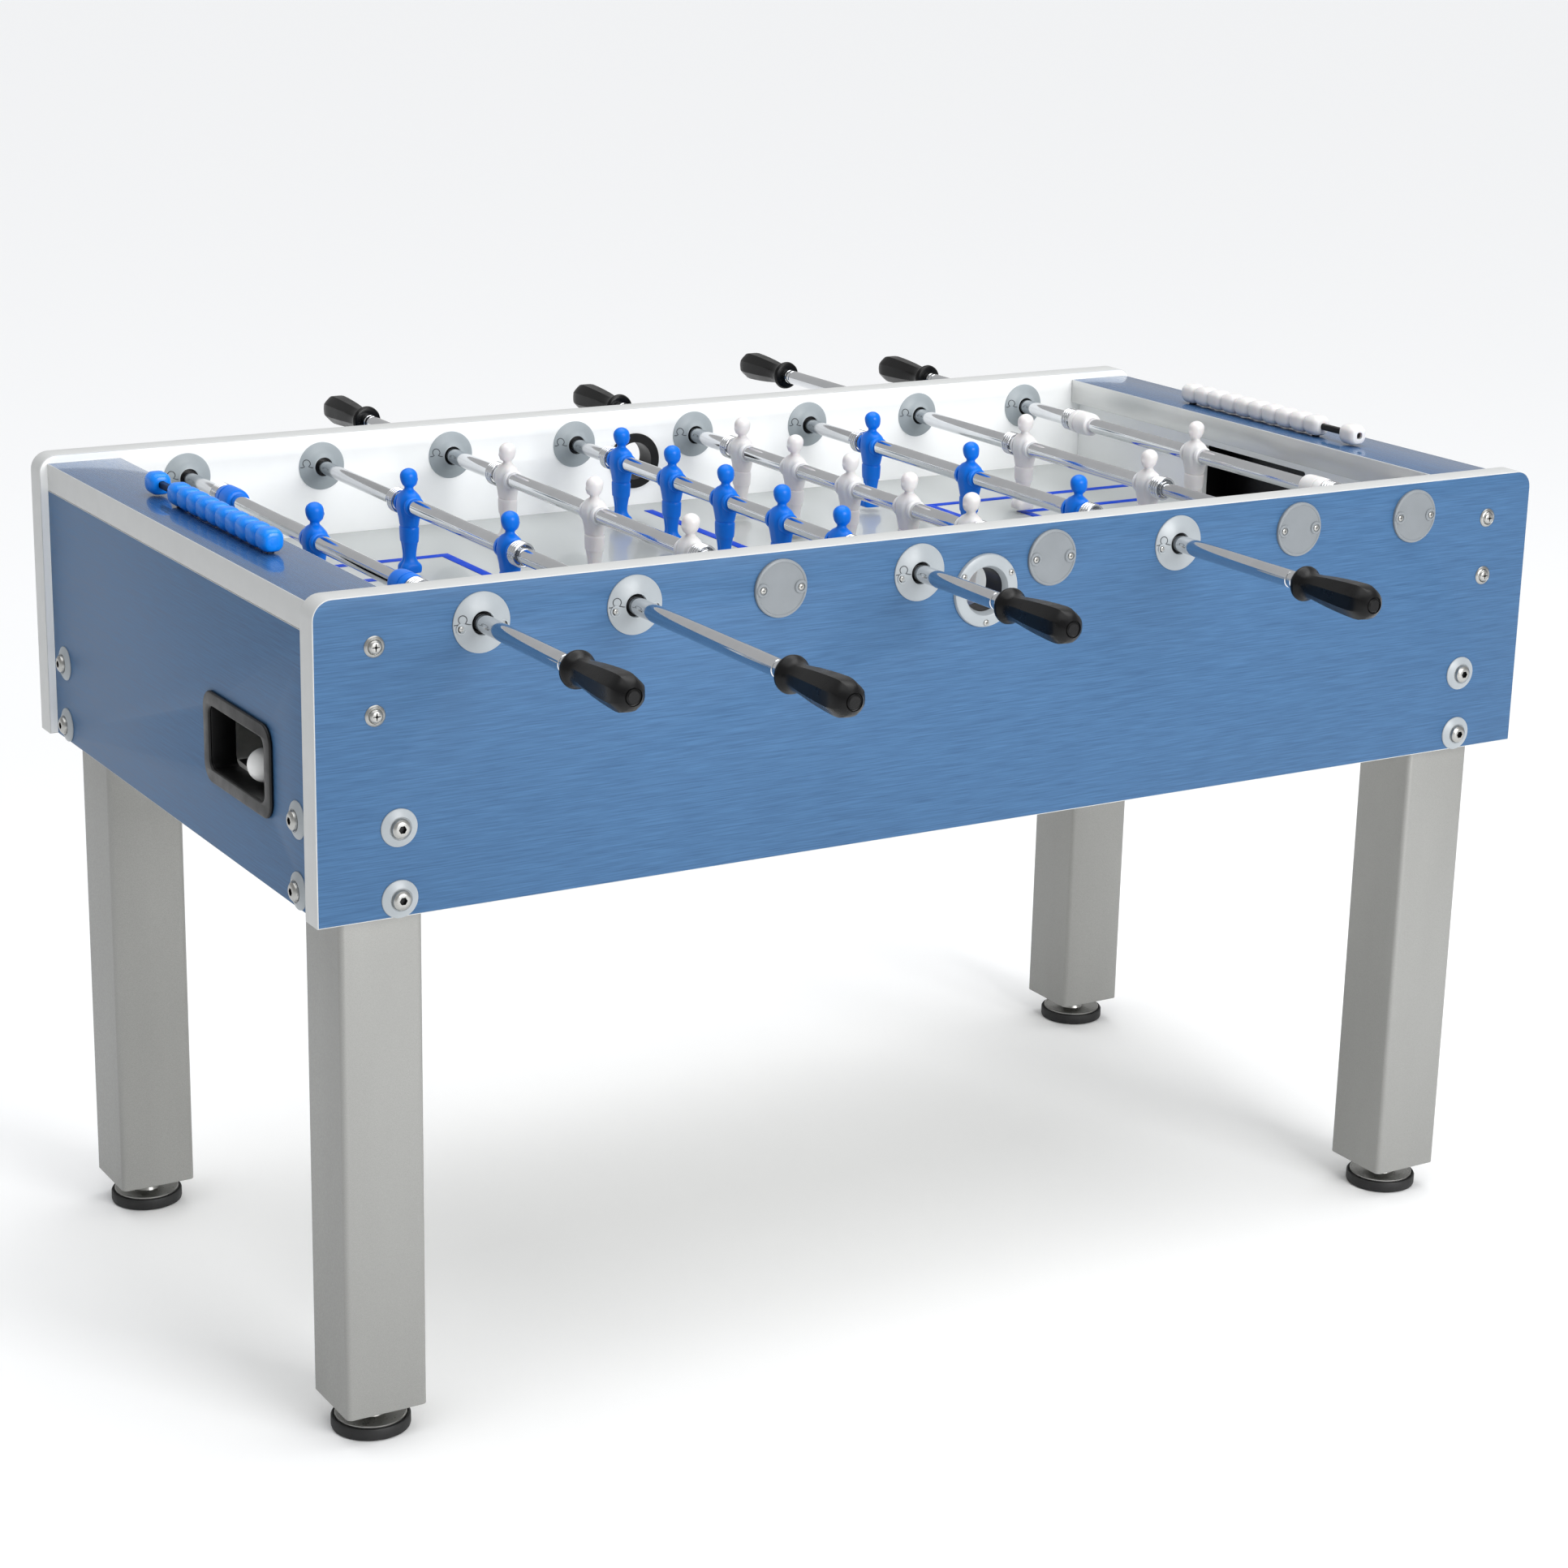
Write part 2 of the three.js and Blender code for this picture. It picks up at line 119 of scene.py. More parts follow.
class Finish:
    """One Principled material and the texture nodes that its colour, roughness and bump are made of."""

    def __init__(self, name, colour, roughness, metallic=0.0, **sockets):
        self.material = bpy.data.materials.new(name)
        self.material.use_nodes = True
        self.tree = self.material.node_tree
        self.shader = self.tree.nodes["Principled BSDF"]
        self.shader.inputs["Base Color"].default_value = colour
        self.shader.inputs["Roughness"].default_value = roughness
        self.shader.inputs["Metallic"].default_value = metallic
        for label, value in sockets.items():
            self.shader.inputs[label.replace("_", " ")].default_value = value
        self.coordinates = self.node("ShaderNodeTexCoord").outputs["Object"]
        self.tinted = None
        self.bumped = None

    def node(self, kind, **settings):
        node = self.tree.nodes.new(kind)
        for label, value in settings.items():
            setattr(node, label, value)
        return node

    def link(self, source, target):
        self.tree.links.new(source, target)

    def noise(self, stretch, detail=3.0, roughness=0.55):
        """Noise whose cells repeat this many times a metre along X, Y and Z."""
        mapping = self.node("ShaderNodeMapping")
        mapping.inputs["Scale"].default_value = stretch
        self.link(self.coordinates, mapping.inputs["Vector"])
        noise = self.node("ShaderNodeTexNoise")
        noise.inputs["Scale"].default_value = 1.0
        noise.inputs["Detail"].default_value = detail
        noise.inputs["Roughness"].default_value = roughness
        self.link(mapping.outputs["Vector"], noise.inputs["Vector"])
        return noise.outputs["Fac"]

    def remap(self, value, low, high, to_low=0.0, to_high=1.0):
        """Carries a value from one range to another."""
        spread = self.node("ShaderNodeMapRange")
        for label, end in zip(("From Min", "From Max", "To Min", "To Max"), (low, high, to_low, to_high)):
            spread.inputs[label].default_value = end
        self.link(value, spread.inputs["Value"])
        return spread.outputs["Result"]

    def edges(self):
        """1 on convex edges and 0 elsewhere."""
        return self.remap(self.node("ShaderNodeNewGeometry").outputs["Pointiness"], 0.51, 0.58)

    def tint(self, factor, low, high, reach=(0.3, 0.7)):
        """Multiplies the colour by a ramp from low to high as the factor crosses its reach."""
        ramp = self.node("ShaderNodeValToRGB")
        for element, place, colour in zip(ramp.color_ramp.elements, reach, (low, high)):
            element.position = place
            element.color = colour
        self.link(factor, ramp.inputs["Fac"])
        mix = self.node("ShaderNodeMix", data_type="RGBA", blend_type="MULTIPLY")
        mix.inputs["Factor"].default_value = 1.0
        if self.tinted is None:
            mix.inputs[6].default_value = self.shader.inputs["Base Color"].default_value
        else:
            self.link(self.tinted, mix.inputs[6])
        self.link(ramp.outputs["Color"], mix.inputs[7])
        self.tinted = mix.outputs[2]
        self.link(self.tinted, self.shader.inputs["Base Color"])
        return self

    def rough(self, factor, low, high):
        """Lets the roughness follow the factor from low to high."""
        self.link(self.remap(factor, 0.3, 0.7, low, high), self.shader.inputs["Roughness"])
        return self

    def bump(self, factor, millimetres, strength=1.0):
        """Adds relief of this height to whatever relief there is already."""
        bump = self.node("ShaderNodeBump")
        bump.inputs["Strength"].default_value = strength
        bump.inputs["Distance"].default_value = millimetres * MM
        self.link(factor, bump.inputs["Height"])
        if self.bumped is not None:
            self.link(self.bumped, bump.inputs["Normal"])
        self.bumped = bump.outputs["Normal"]
        self.link(self.bumped, self.shader.inputs["Normal"])
        return self


def grey(value):
    return (value, value, value, 1.0)


WHITE = grey(1.0)


def laminate(name, colour, grain, roughness, coat):
    """Brushed laminate: fine streaks along one direction over slow changes of tone."""
    finish = Finish(name, colour, roughness, 0.1, Specular_IOR_Level=0.3, Coat_Weight=coat,
                    Coat_Roughness=0.05)
    streaks = finish.noise(grain, detail=3, roughness=0.6)
    finish.tint(streaks, (0.74, 0.78, 0.82, 1), (1.22, 1.18, 1.15, 1), reach=(0.32, 0.68))
    finish.tint(finish.noise((1.6, 1.6, 2.5), detail=2), grey(0.95), grey(1.04))
    finish.rough(streaks, roughness - 0.05, roughness + 0.06)
    return finish.bump(streaks, 0.04).material


def plastic(name, colour, roughness, grain=900, depth=0.02, mottle=0.05, **sockets):
    """Moulded plastic: a fine spark-eroded grain, slow changes of tone and lighter convex edges."""
    finish = Finish(name, colour, roughness, 0.0, **sockets)
    grains = finish.noise((grain,) * 3, detail=2)
    finish.tint(finish.noise((40, 40, 40), detail=3), grey(1.0 - mottle), grey(1.0 + mottle / 2))
    finish.tint(finish.edges(), WHITE, grey(1.10), reach=(0, 1))
    finish.rough(finish.noise((60, 60, 60), detail=4), roughness - 0.06, roughness + 0.08)
    return finish.bump(grains, depth).material


def metal(name, colour, roughness, stretch, depth=0.01, smudge=0.08):
    """Bare metal with polishing marks along one direction and faint smudges."""
    finish = Finish(name, colour, roughness, 1.0)
    marks = finish.noise(stretch, detail=3)
    finish.tint(finish.noise((25, 25, 25), detail=3), grey(1.0 - smudge), grey(1.0))
    finish.rough(marks, max(0.03, roughness - 0.04), roughness + 0.06)
    return finish.bump(marks, depth, 0.5).material


def powder_coat():
    """Silver-grey powder coat: fine orange peel, metal flakes and slightly lighter convex edges."""
    finish = Finish("leg_powder_coat", srgb(146, 146, 143), 0.42, 0.35)
    peel = finish.noise((420, 420, 420), detail=2)
    flakes = finish.noise((2600, 2600, 2600), detail=1)
    finish.tint(flakes, grey(0.88), grey(1.10), reach=(0.35, 0.65))
    finish.tint(finish.noise((9, 9, 1.5), detail=3), grey(0.92), grey(1.03))
    finish.tint(finish.edges(), WHITE, grey(1.15), reach=(0, 1))
    finish.rough(peel, 0.36, 0.5)
    return finish.bump(peel, 0.05).material


def playing_surface():
    """Light grey print under a thin glossy layer."""
    finish = Finish("playfield_print", srgb(170, 174, 173), 0.32, 0.0, Coat_Weight=0.35, Coat_Roughness=0.03)
    finish.tint(finish.noise((3, 3, 3), detail=2), grey(0.97), grey(1.02))
    finish.tint(finish.noise((1500, 1500, 1500), detail=1), grey(0.97), grey(1.02))
    return finish.bump(finish.noise((14, 14, 14), detail=1), 0.02).material


GRAIN_UPRIGHT = (22, 22, 800)
GRAIN_TOP = (800, 22, 22)
BLUE_SIDE = laminate("blue_laminate_side", srgb(60, 98, 137), GRAIN_UPRIGHT, 0.45, coat=0.0)
BLUE_TOP = laminate("blue_laminate_top", srgb(54, 94, 138), GRAIN_TOP, 0.25, coat=0.55)
EDGE = plastic("edge_band_white", srgb(194, 195, 194), 0.5, grain=500, mottle=0.012)
INNER_WHITE = plastic("white_laminate", srgb(250, 251, 250), 0.45, grain=300, depth=0.01, mottle=0.012)
SILVER_LIP = metal("brushed_silver_lip", srgb(214, 215, 214), 0.34, (900, 20, 900), smudge=0.03)
FIELD = playing_surface()
LINE_BLUE = plastic("line_print_blue", srgb(6, 62, 186), 0.5, Specular_IOR_Level=0.05)
LEG = powder_coat()
CHROME = metal("chrome", srgb(222, 224, 227), 0.07, (300, 6, 300))
STEEL = metal("guide_bar_steel", srgb(205, 207, 210), 0.12, (200, 8, 200))
SCREW = metal("screw_steel", srgb(172, 172, 169), 0.3, (300, 300, 300), 0.02)
GRIP = plastic("grip_black", srgb(9, 9, 10), 0.3, grain=350, depth=0.02, Specular_IOR_Level=0.2)
BLUE_MAN = plastic("figure_blue", srgb(0, 112, 222), 0.34, Specular_IOR_Level=0.25)
BLUE_BEAD = plastic("bead_blue", srgb(0, 132, 240), 0.26, Specular_IOR_Level=0.35)
WHITE_MAN = plastic("figure_white", srgb(229, 225, 224), 0.4, Subsurface_Weight=0.08)
BEARING = plastic("bearing_grey", srgb(152, 158, 162), 0.36, grain=700, Specular_IOR_Level=0.6)
INNER_BEARING = plastic("inner_bearing_grey", srgb(156, 164, 168), 0.38, grain=700)
CAP = plastic("blank_cap_grey", srgb(122, 127, 131), 0.42, grain=700)
SEAM = plastic("seam_shadow", srgb(48, 51, 54), 0.5)
# Also stands as painted shade in the bearings' and screws' holes, hollows and recesses.
BLACK = plastic("black_plastic", srgb(9, 9, 10), 0.38, grain=400, depth=0.03, Specular_IOR_Level=0.3)
RUBBER = plastic("foot_rubber", srgb(18, 18, 19), 0.6, grain=260, depth=0.08)
BALL = plastic("ball_white", srgb(240, 240, 238), 0.3, grain=200, depth=0.03)
RETURN_WHITE = plastic("return_board", srgb(224, 223, 218), 0.5, grain=260)


# ---- mesh building ----
def facing(direction, origin=(0, 0, 0)):
    """Local Z points along a horizontal direction and local Y up, from an origin in millimetres."""
    z = Vector(direction)
    y = Vector((0, 0, 1))
    x = y.cross(z)
    return Matrix.Translation(origin) @ Matrix((x, y, z)).transposed().to_4x4()


def circle(radius, segments=48, centre=(0, 0)):
    step = 2 * math.pi / segments
    return [(centre[0] + radius * math.cos(i * step), centre[1] + radius * math.sin(i * step))
            for i in range(segments)]


def rounded(width, height, radius, centre=(0, 0), steps=8):
    """A rectangle with round corners, anticlockwise from its right side."""
    points = []
    for corner, (sx, sy) in enumerate(((1, 1), (-1, 1), (-1, -1), (1, -1))):
        cx = centre[0] + sx * (width / 2 - radius)
        cy = centre[1] + sy * (height / 2 - radius)
        for i in range(steps + 1):
            angle = (corner + i / steps) * math.pi / 2
            points.append((cx + radius * math.cos(angle), cy + radius * math.sin(angle)))
    return points


def place_object(name, data):
    """A new object with this data, in the scene."""
    made = bpy.data.objects.new(name, data)
    bpy.context.scene.collection.objects.link(made)
    return made


def outward_mesh(name, points, faces):
    """A mesh with all of its faces turned outwards."""
    mesh = bpy.data.meshes.new(name)
    mesh.from_pydata(points, [], faces)
    work = bmesh.new()
    work.from_mesh(mesh)
    bmesh.ops.recalc_face_normals(work, faces=work.faces)
    work.to_mesh(mesh)
    work.free()
    return mesh


class Shape:
    """Vertices and faces in millimetres, gathered into one piece."""

    def __init__(self):
        self.points = []
        self.faces = []
        self.slots = []

    def add(self, points, faces, place, slots):
        start = len(self.points)
        self.points += [place @ Vector(point) for point in points]
        self.faces += [[start + index for index in face] for face in faces]
        self.slots += slots

    def loft(self, rings, place=Matrix(), slot=0, loop=False):
        """Skins rings of equal length; a ring of one point is a tip, and open ends are capped."""
        points = [point for ring in rings for point in ring]
        starts = [sum(len(ring) for ring in rings[:i]) for i in range(len(rings))]
        faces = []
        pairs = list(zip(range(len(rings)), range(1, len(rings))))
        if loop:
            pairs.append((len(rings) - 1, 0))
        for a, b in pairs:
            count = max(len(rings[a]), len(rings[b]))
            for i in range(count):
                j = (i + 1) % count
                near = [starts[a]] if len(rings[a]) == 1 else [starts[a] + i, starts[a] + j]
                far = [starts[b]] if len(rings[b]) == 1 else [starts[b] + j, starts[b] + i]
                faces.append(near + far)
        if not loop:
            for k in (0, len(rings) - 1):
                if len(rings[k]) > 1:
                    faces.append([starts[k] + i for i in range(len(rings[k]))])
        self.add(points, faces, place, [slot] * len(faces))
        return self

    def lathe(self, profile, place=Matrix(), slot=0, segments=48):
        """Turns (radius, height) points about local Z. A profile off the axis closes on itself."""
        rings = []
        for radius, height in profile:
            ring = [(x, y, height) for x, y in circle(radius, segments)] if radius else [(0, 0, height)]
            rings.append(ring)
        loop = profile[0][0] > 0 and profile[-1][0] > 0
        return self.loft(rings, place, slot, loop)

    def sweep(self, path, radius, place=Matrix(), slot=0, sides=8):
        """A round wire along a path of points."""
        rings = []
        for i, point in enumerate(path):
            before = path[max(i - 1, 0)]
            after = path[min(i + 1, len(path) - 1)]
            turn = (after - before).to_track_quat("Z", "Y").to_matrix()
            rings.append([point + turn @ Vector((x, y, 0)) for x, y in circle(radius, sides)])
        return self.loft(rings, place, slot)

    def plate(self, outline, holes, thickness, bevel, place=Matrix(), slots=(0, 0, 0)):
        """A flat board from local Z 0 up to its thickness. slots are its upper face, lower face and edges."""
        curve = bpy.data.curves.new("plate", "CURVE")
        curve.dimensions = "2D"
        curve.fill_mode = "BOTH"
        curve.extrude = thickness / 2 - bevel
        curve.bevel_depth = bevel
        curve.bevel_resolution = 2
        curve.offset = -bevel
        for loop in (outline, *holes):
            spline = curve.splines.new("POLY")
            spline.points.add(len(loop) - 1)
            for point, (x, y) in zip(spline.points, loop):
                point.co = (x, y, 0, 1)
            spline.use_cyclic_u = True
        holder = bpy.data.objects.new("plate", curve)
        mesh = bpy.data.meshes.new_from_object(holder)
        work = bmesh.new()
        work.from_mesh(mesh)
        bmesh.ops.remove_doubles(work, verts=work.verts, dist=0.001)
        bmesh.ops.recalc_face_normals(work, faces=work.faces)
        work.verts.index_update()
        points = [vertex.co + Vector((0, 0, thickness / 2)) for vertex in work.verts]
        faces = [[vertex.index for vertex in face.verts] for face in work.faces]
        kinds = [slots[0] if face.normal.z > 0.99 else slots[1] if face.normal.z < -0.99 else slots[2]
                 for face in work.faces]
        work.free()
        bpy.data.objects.remove(holder)
        bpy.data.curves.remove(curve)
        bpy.data.meshes.remove(mesh)
        self.add(points, faces, place, kinds)
        return self

    def piece(self, name, materials, body, slot, replaces=(), sharp=32):
        """The finished object on its body, smooth up to the sharp angle in degrees."""
        mesh = outward_mesh(name, [point * MM for point in self.points], self.faces)
        mesh.polygons.foreach_set("material_index", self.slots)
        mesh.polygons.foreach_set("use_smooth", [True] * len(mesh.polygons))
        mesh.set_sharp_from_angle(angle=math.radians(sharp))
        for material in materials:
            mesh.materials.append(material)
        made = place_object(name, mesh)
        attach(made, body)
        if replaces:
            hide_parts(*replaces)
        return made


# ---- screws and bolts ----
# Places in the list of materials of a bearing's piece, and of a screws' piece. The last place of each is black
# plastic standing as painted shade in holes, hollows and recesses.
DISC, SMALL_SCREW, SEAM_SHADE, INNER_DISC, BLANK, PAINTED_SHADE = range(6)
HEAD, WASHER, RECESS_SHADE = range(3)


def bearing_piece(shape, name):
    return shape.piece(name, (BEARING, SCREW, SEAM, INNER_BEARING, CAP, BLACK), "cabinet", "grey_bearing")


def screw_piece(shape, name):
    return shape.piece(name, (SCREW, BEARING, BLACK), "cabinet", "screw_steel")


def hexagon(radius):
    """Radius of a hexagonal socket at an angle."""
    def at(angle):
        return radius * math.cos(math.pi / 6) / math.cos(angle % (math.pi / 3) - math.pi / 6)
    return at


def cross(radius):
    """Radius of a cross recess at an angle."""
    def at(angle):
        return radius * (0.34 + 0.66 * max(0.0, math.cos(4 * angle)) ** 2)
    return at


def screw_head(shape, radius, height, recess, recess_depth, place, slot, shade):
    """A domed head standing on local Z 0 with a shaped recess in its top, whose walls and floor take the shade
    slot: black painted shade.
    """
    segments = 48
    step = 2 * math.pi / segments
    dome = [(1.0, 0.0), (1.0, 0.25), (0.93, 0.62), (0.75, 0.88), (0.62, 1.0)]
    rings = [[(0, 0, -1.0)]]
    for share, rise in dome:
        rings.append([(x, y, rise * height) for x, y in circle(radius * share, segments)])
    for depth in (height, height - recess_depth):
        rings.append([(recess(i * step) * math.cos(i * step), recess(i * step) * math.sin(i * step), depth)
                      for i in range(segments)])
    rings.append([(0, 0, height - recess_depth)])
    shape.loft(rings, place, slot)
    # The recess's walls and floor: black painted shade.
    shape.slots[-2 * segments:] = [shade] * (2 * segments)


def small_screw(shape, place, radius=3.4):
    screw_head(shape, radius, 1.6, cross(radius * 0.58), 1.1, place, SMALL_SCREW, PAINTED_SHADE)


def cup_screw(shape, place):
    """Pan-head screw in a cup washer."""
    cup = [(6.4, -0.8), (10.5, 0), (10.6, 0.5), (9.6, 1.7), (7.9, 2.5), (7.4, 2.2), (6.6, 1.0)]
    shape.lathe(cup, place, HEAD)
    screw_head(shape, 7.1, 4.6, cross(4.2), 2.6, place, HEAD, RECESS_SHADE)


def panel_bolt(shape, place):
    """Button-head bolt on a wide conical washer."""
    washer = [(9, 0), (19, 0), (19.2, 0.6), (18.8, 1.4), (13, 4.2), (11.6, 4.5), (11.0, 3.9), (9, 3.6)]
    shape.lathe(washer, place, WASHER, segments=64)
    raised = place @ Matrix.Translation((0, 0, 3.7))
    screw_head(shape, 10.2, 5.4, hexagon(4.2), 3.4, raised, HEAD, RECESS_SHADE)


# ---- bearings, caps and ball entries ----
def seam(shape, height_at, inner, outer, place):
    """The keyhole-shaped joint line between a bearing's two halves, laid on its surface as a thin dark wire of
    painted shadow.
    """
    bow = [(-inner, 0), (-inner - 2, 0)]
    centre_x, centre_y, radius = -(inner + outer) / 2, 4.8, 4.2
    for i in range(13):
        angle = math.radians(-60 + i * 25)
        bow.append((centre_x + radius * math.cos(angle), centre_y + radius * math.sin(angle)))
    bow += [(-outer + 2.5, 0), (-outer, 0)]
    path = [Vector((x, y, height_at(math.hypot(x, y)))) for x, y in bow]
    shape.sweep(path, 0.5, place, SEAM_SHADE, sides=6)


def outer_bearing(shape, place):
    """Bearing disc and sleeve, a black bush around the tube as painted shade in the hole, and two screws in
    round bosses with black discs as painted shade in their hollows.
    """
    rim, rim_r, collar, collar_r = 2.0, BEARING_R - 0.8, 4.6, 14
    shape.lathe([(11.6, 4.5), (11.6, -PANEL_THICK + 6), (12.9, -PANEL_THICK + 6), (12.9, 0), (BEARING_R, 0),
                 (BEARING_R, 1.3), (rim_r, rim), (collar_r, collar), (12.6, 5), (11.9, 5)],
                place, DISC, segments=72)
    shape.lathe([(9.6, 1.4), (9.6, -PANEL_THICK + 7), (11.5, -PANEL_THICK + 7), (11.5, 1.4), (10.6, 1.8)],
                place, PAINTED_SHADE)
    slope = (collar - rim) / (rim_r - collar_r)

    def height_at(radius):
        return min(collar, max(rim, rim + (rim_r - radius) * slope))

    seam(shape, height_at, 12.5, rim_r, place)
    for side in (-1, 1):
        x, y = side * FIXING_X, -4
        boss = place @ Matrix.Translation((x, y, 0))
        shape.lathe([(4.0, 1.5), (5.6, 1.5), (5.6, 3.5), (5.1, 3.9), (4.3, 3.9), (4.0, 3.3)], boss, DISC, 32)
        # Black disc in the boss's hollow around the screw: painted shade.
        shape.lathe([(0, 1.5), (4.0, 1.5), (4.0, 2.9), (0, 2.9)], boss, PAINTED_SHADE, 32)
        small_screw(shape, place @ Matrix.Translation((x, y, 2.2)), radius=3.0)


def inner_bearing(shape, place, bore):
    """Collared disc on the panel's inner face with a black bush of this bore, as painted shade in the hole."""
    collar, edge, step, step_r = RELIEF_IN, 1.9, 3.6, 19
    edge_r = INNER_BEARING_R - 1
    shape.lathe([(bore, collar - 3), (bore, -12), (11.0, -12), (11.0, collar - 3)], place, PAINTED_SHADE)
    shape.lathe([(11.1, collar), (11.1, -12), (12.4, -12), (12.4, 0), (INNER_BEARING_R, 0),
                 (INNER_BEARING_R, 1.2), (edge_r, edge), (step_r, step), (13.6, 6.6),
                 (12.6, 7.7), (11.8, collar)], place, INNER_DISC, segments=72)

    def height_at(radius):
        return edge + max(0.0, edge_r - radius) * 0.2 + max(0.0, step_r - radius) * 0.36

    seam(shape, height_at, 12.8, edge_r, place)


def blank_cap(shape, place):
    """Flat cap with a raised rim and two eared screws, over the anchored end of a guide bar."""
    shape.lathe([(0, 0), (BEARING_R, 0), (BEARING_R, 2.4), (BEARING_R - 0.7, 3.2), (BEARING_R - 2.5, 3.6),
                 (BEARING_R - 3.4, 2.9), (0, 2.9)], place, BLANK, segments=72)
    for side in (-1, 1):
        ear = place @ Matrix.Translation((side * FIXING_X, 0, 2.8))
        shape.lathe([(0, -1), (7.0, -1), (6.9, 1.0), (6.0, 1.8), (4.4, 1.9), (4.0, 0.9), (0, 0.9)],
                    ear, BLANK, segments=36)
        small_screw(shape, ear @ Matrix.Translation((0, 0, 0.7)))


def bearings():
    """A rod's bearings in both panels. The panel opposite the handle has a blank cap outside."""
    for n in RODS:
        shape = Shape()
        for side in (-1, 1):
            out = facing((0, side, 0), (ROD_X[n], side * PANEL_OUTER_Y, ROD_Z))
            inward = facing((0, -side, 0), (ROD_X[n], side * PANEL_INNER_Y, ROD_Z))
            if side == ROD_SIDE[n]:
                outer_bearing(shape, out)
                inner_bearing(shape, inward, 9.7)
            else:
                blank_cap(shape, out)
                inner_bearing(shape, inward, 8.1)
        bearing_piece(shape, f"bearings_{n}")


def ball_entry(name, side):
    """Funnel ring outside, and a black sleeve through the panel as painted shade in the hole, with a thin
    flange inside.
    """
    shape = Shape()
    place = facing((0, side, 0), (0, side * PANEL_OUTER_Y, ENTRY_Z))
    hole, back = ENTRY_HOLE_R, -PANEL_THICK
    shape.lathe([(hole, -3), (hole, back - 2), (hole + 11, back - 2), (hole + 11, back - 0.3),
                 (hole + 2, back - 0.3), (hole + 2, -3)], place, PAINTED_SHADE, segments=80)
    shape.lathe([(hole + 0.2, -2.9), (hole + 2, -2.9), (hole + 2, 0), (ENTRY_R, 0), (ENTRY_R, 2.2),
                 (ENTRY_R - 0.8, 3.6), (ENTRY_R - 2, 4.2), (hole + 5, 4.7), (hole + 3.4, 4.2),
                 (hole + 1.4, 0.6)], place, DISC, segments=80)
    for angle in (150, 30, -90):
        x = ENTRY_SCREW_R * math.cos(math.radians(angle))
        y = ENTRY_SCREW_R * math.sin(math.radians(angle))
        small_screw(shape, place @ Matrix.Translation((x, y, 4.2)))
    # A short mark on the funnel ring: a thin dark wire of painted shadow.
    mark = [Vector((x, 0, 4.5)) for x in (-ENTRY_R + 1.5, -36, -32.5)]
    shape.sweep(mark, 0.35, place, SEAM_SHADE, sides=6)
    bearing_piece(shape, name)


# ---- cabinet ----
def turned(side):
    """Half a turn about Z for the right or back side of what is drawn for the left or front one."""
    return Matrix.Rotation(0 if side < 0 else math.pi, 4, "Z")


def side_panel(name, side):
    """Long side board with its holes, screws, bolts and ball entry."""
    corner_x, corner_z = LENGTH / 2 - PANEL_CORNER_R, PANEL_TOP - PANEL_CORNER_R
    outline = [(-LENGTH / 2, PANEL_BOTTOM), (LENGTH / 2, PANEL_BOTTOM)]
    for sx, first in ((1, 0), (-1, 90)):
        for i in range(9):
            angle = math.radians(first + i * 90 / 8)
            outline.append((sx * corner_x + PANEL_CORNER_R * math.cos(angle),
                            corner_z + PANEL_CORNER_R * math.sin(angle)))
    holes = [circle(BEARING_HOLE_R, 32, (-side * ROD_X[n], ROD_Z)) for n in RODS]
    holes.append(circle(ENTRY_HOLE_R + 2.2, 48, (0, ENTRY_Z)))
    place = facing((0, side, 0), (0, side * PANEL_INNER_Y, 0))
    Shape().plate(outline, holes, PANEL_THICK, 1.0, place, (0, 1, 2)).piece(
        name.replace("side_", "board_"), (BLUE_SIDE, INNER_WHITE, EDGE), "cabinet", "blue_laminate",
        replaces=(name,), sharp=25)
    small, large = Shape(), Shape()
    for sx in (-1, 1):
        for z in CUP_SCREW_Z:
            cup_screw(small, facing((0, side, 0), (sx * CUP_SCREW_X, side * PANEL_OUTER_Y, z)))
        for z in BOLT_Z:
            panel_bolt(large, facing((0, side, 0), (sx * SIDE_BOLT_X, side * PANEL_OUTER_Y, z)))
    screw_piece(small, name.replace("side_panel", "cup_screws"))
    screw_piece(large, name.replace("side_panel", "panel_bolts"))
    ball_entry(name.replace("side_panel", "ball_entry"), side)


def tray_liner(name, turn, front_x):
    """Floor, back, near wall and roof of the ball tray. Its far wall is left open for the ball."""
    near, far = LINER_Y
    depth, across = LINER_BACK_X - front_x, far - near
    middle = (front_x + LINER_BACK_X) / 2, (near + far) / 2
    sheets = (
        (depth, across, middle, Matrix.Translation((0, 0, LINER_FLOOR_Z))),
        (across, LINER_HEIGHT, (0, 0), facing((-1, 0, 0), (LINER_BACK_X, middle[1], LINER_MIDDLE_Z))),
        (depth, LINER_HEIGHT, (0, 0), facing((0, 1, 0), (middle[0], near, LINER_MIDDLE_Z))),
        (depth, across, middle, Matrix.Translation((0, 0, LINER_ROOF_Z))),
    )
    liner = Shape()
    for width, height, centre, place in sheets:
        liner.plate(rounded(width, height, 3, centre, 3), [], SHEET, 0.5, turn @ place)
    liner.piece(name, (BLACK,), "cabinet", "black_plastic")


def ball(name, place):
    steps = 24
    rings = [[(0, 0, -BALL_R)]]
    for i in range(1, steps):
        angle = math.pi * i / steps
        rings.append([(x, y, -BALL_R * math.cos(angle)) for x, y in circle(BALL_R * math.sin(angle))])
    rings.append([(0, 0, BALL_R)])
    Shape().loft(rings, place).piece(name, (BALL,), "cabinet", "inner_white", sharp=180)


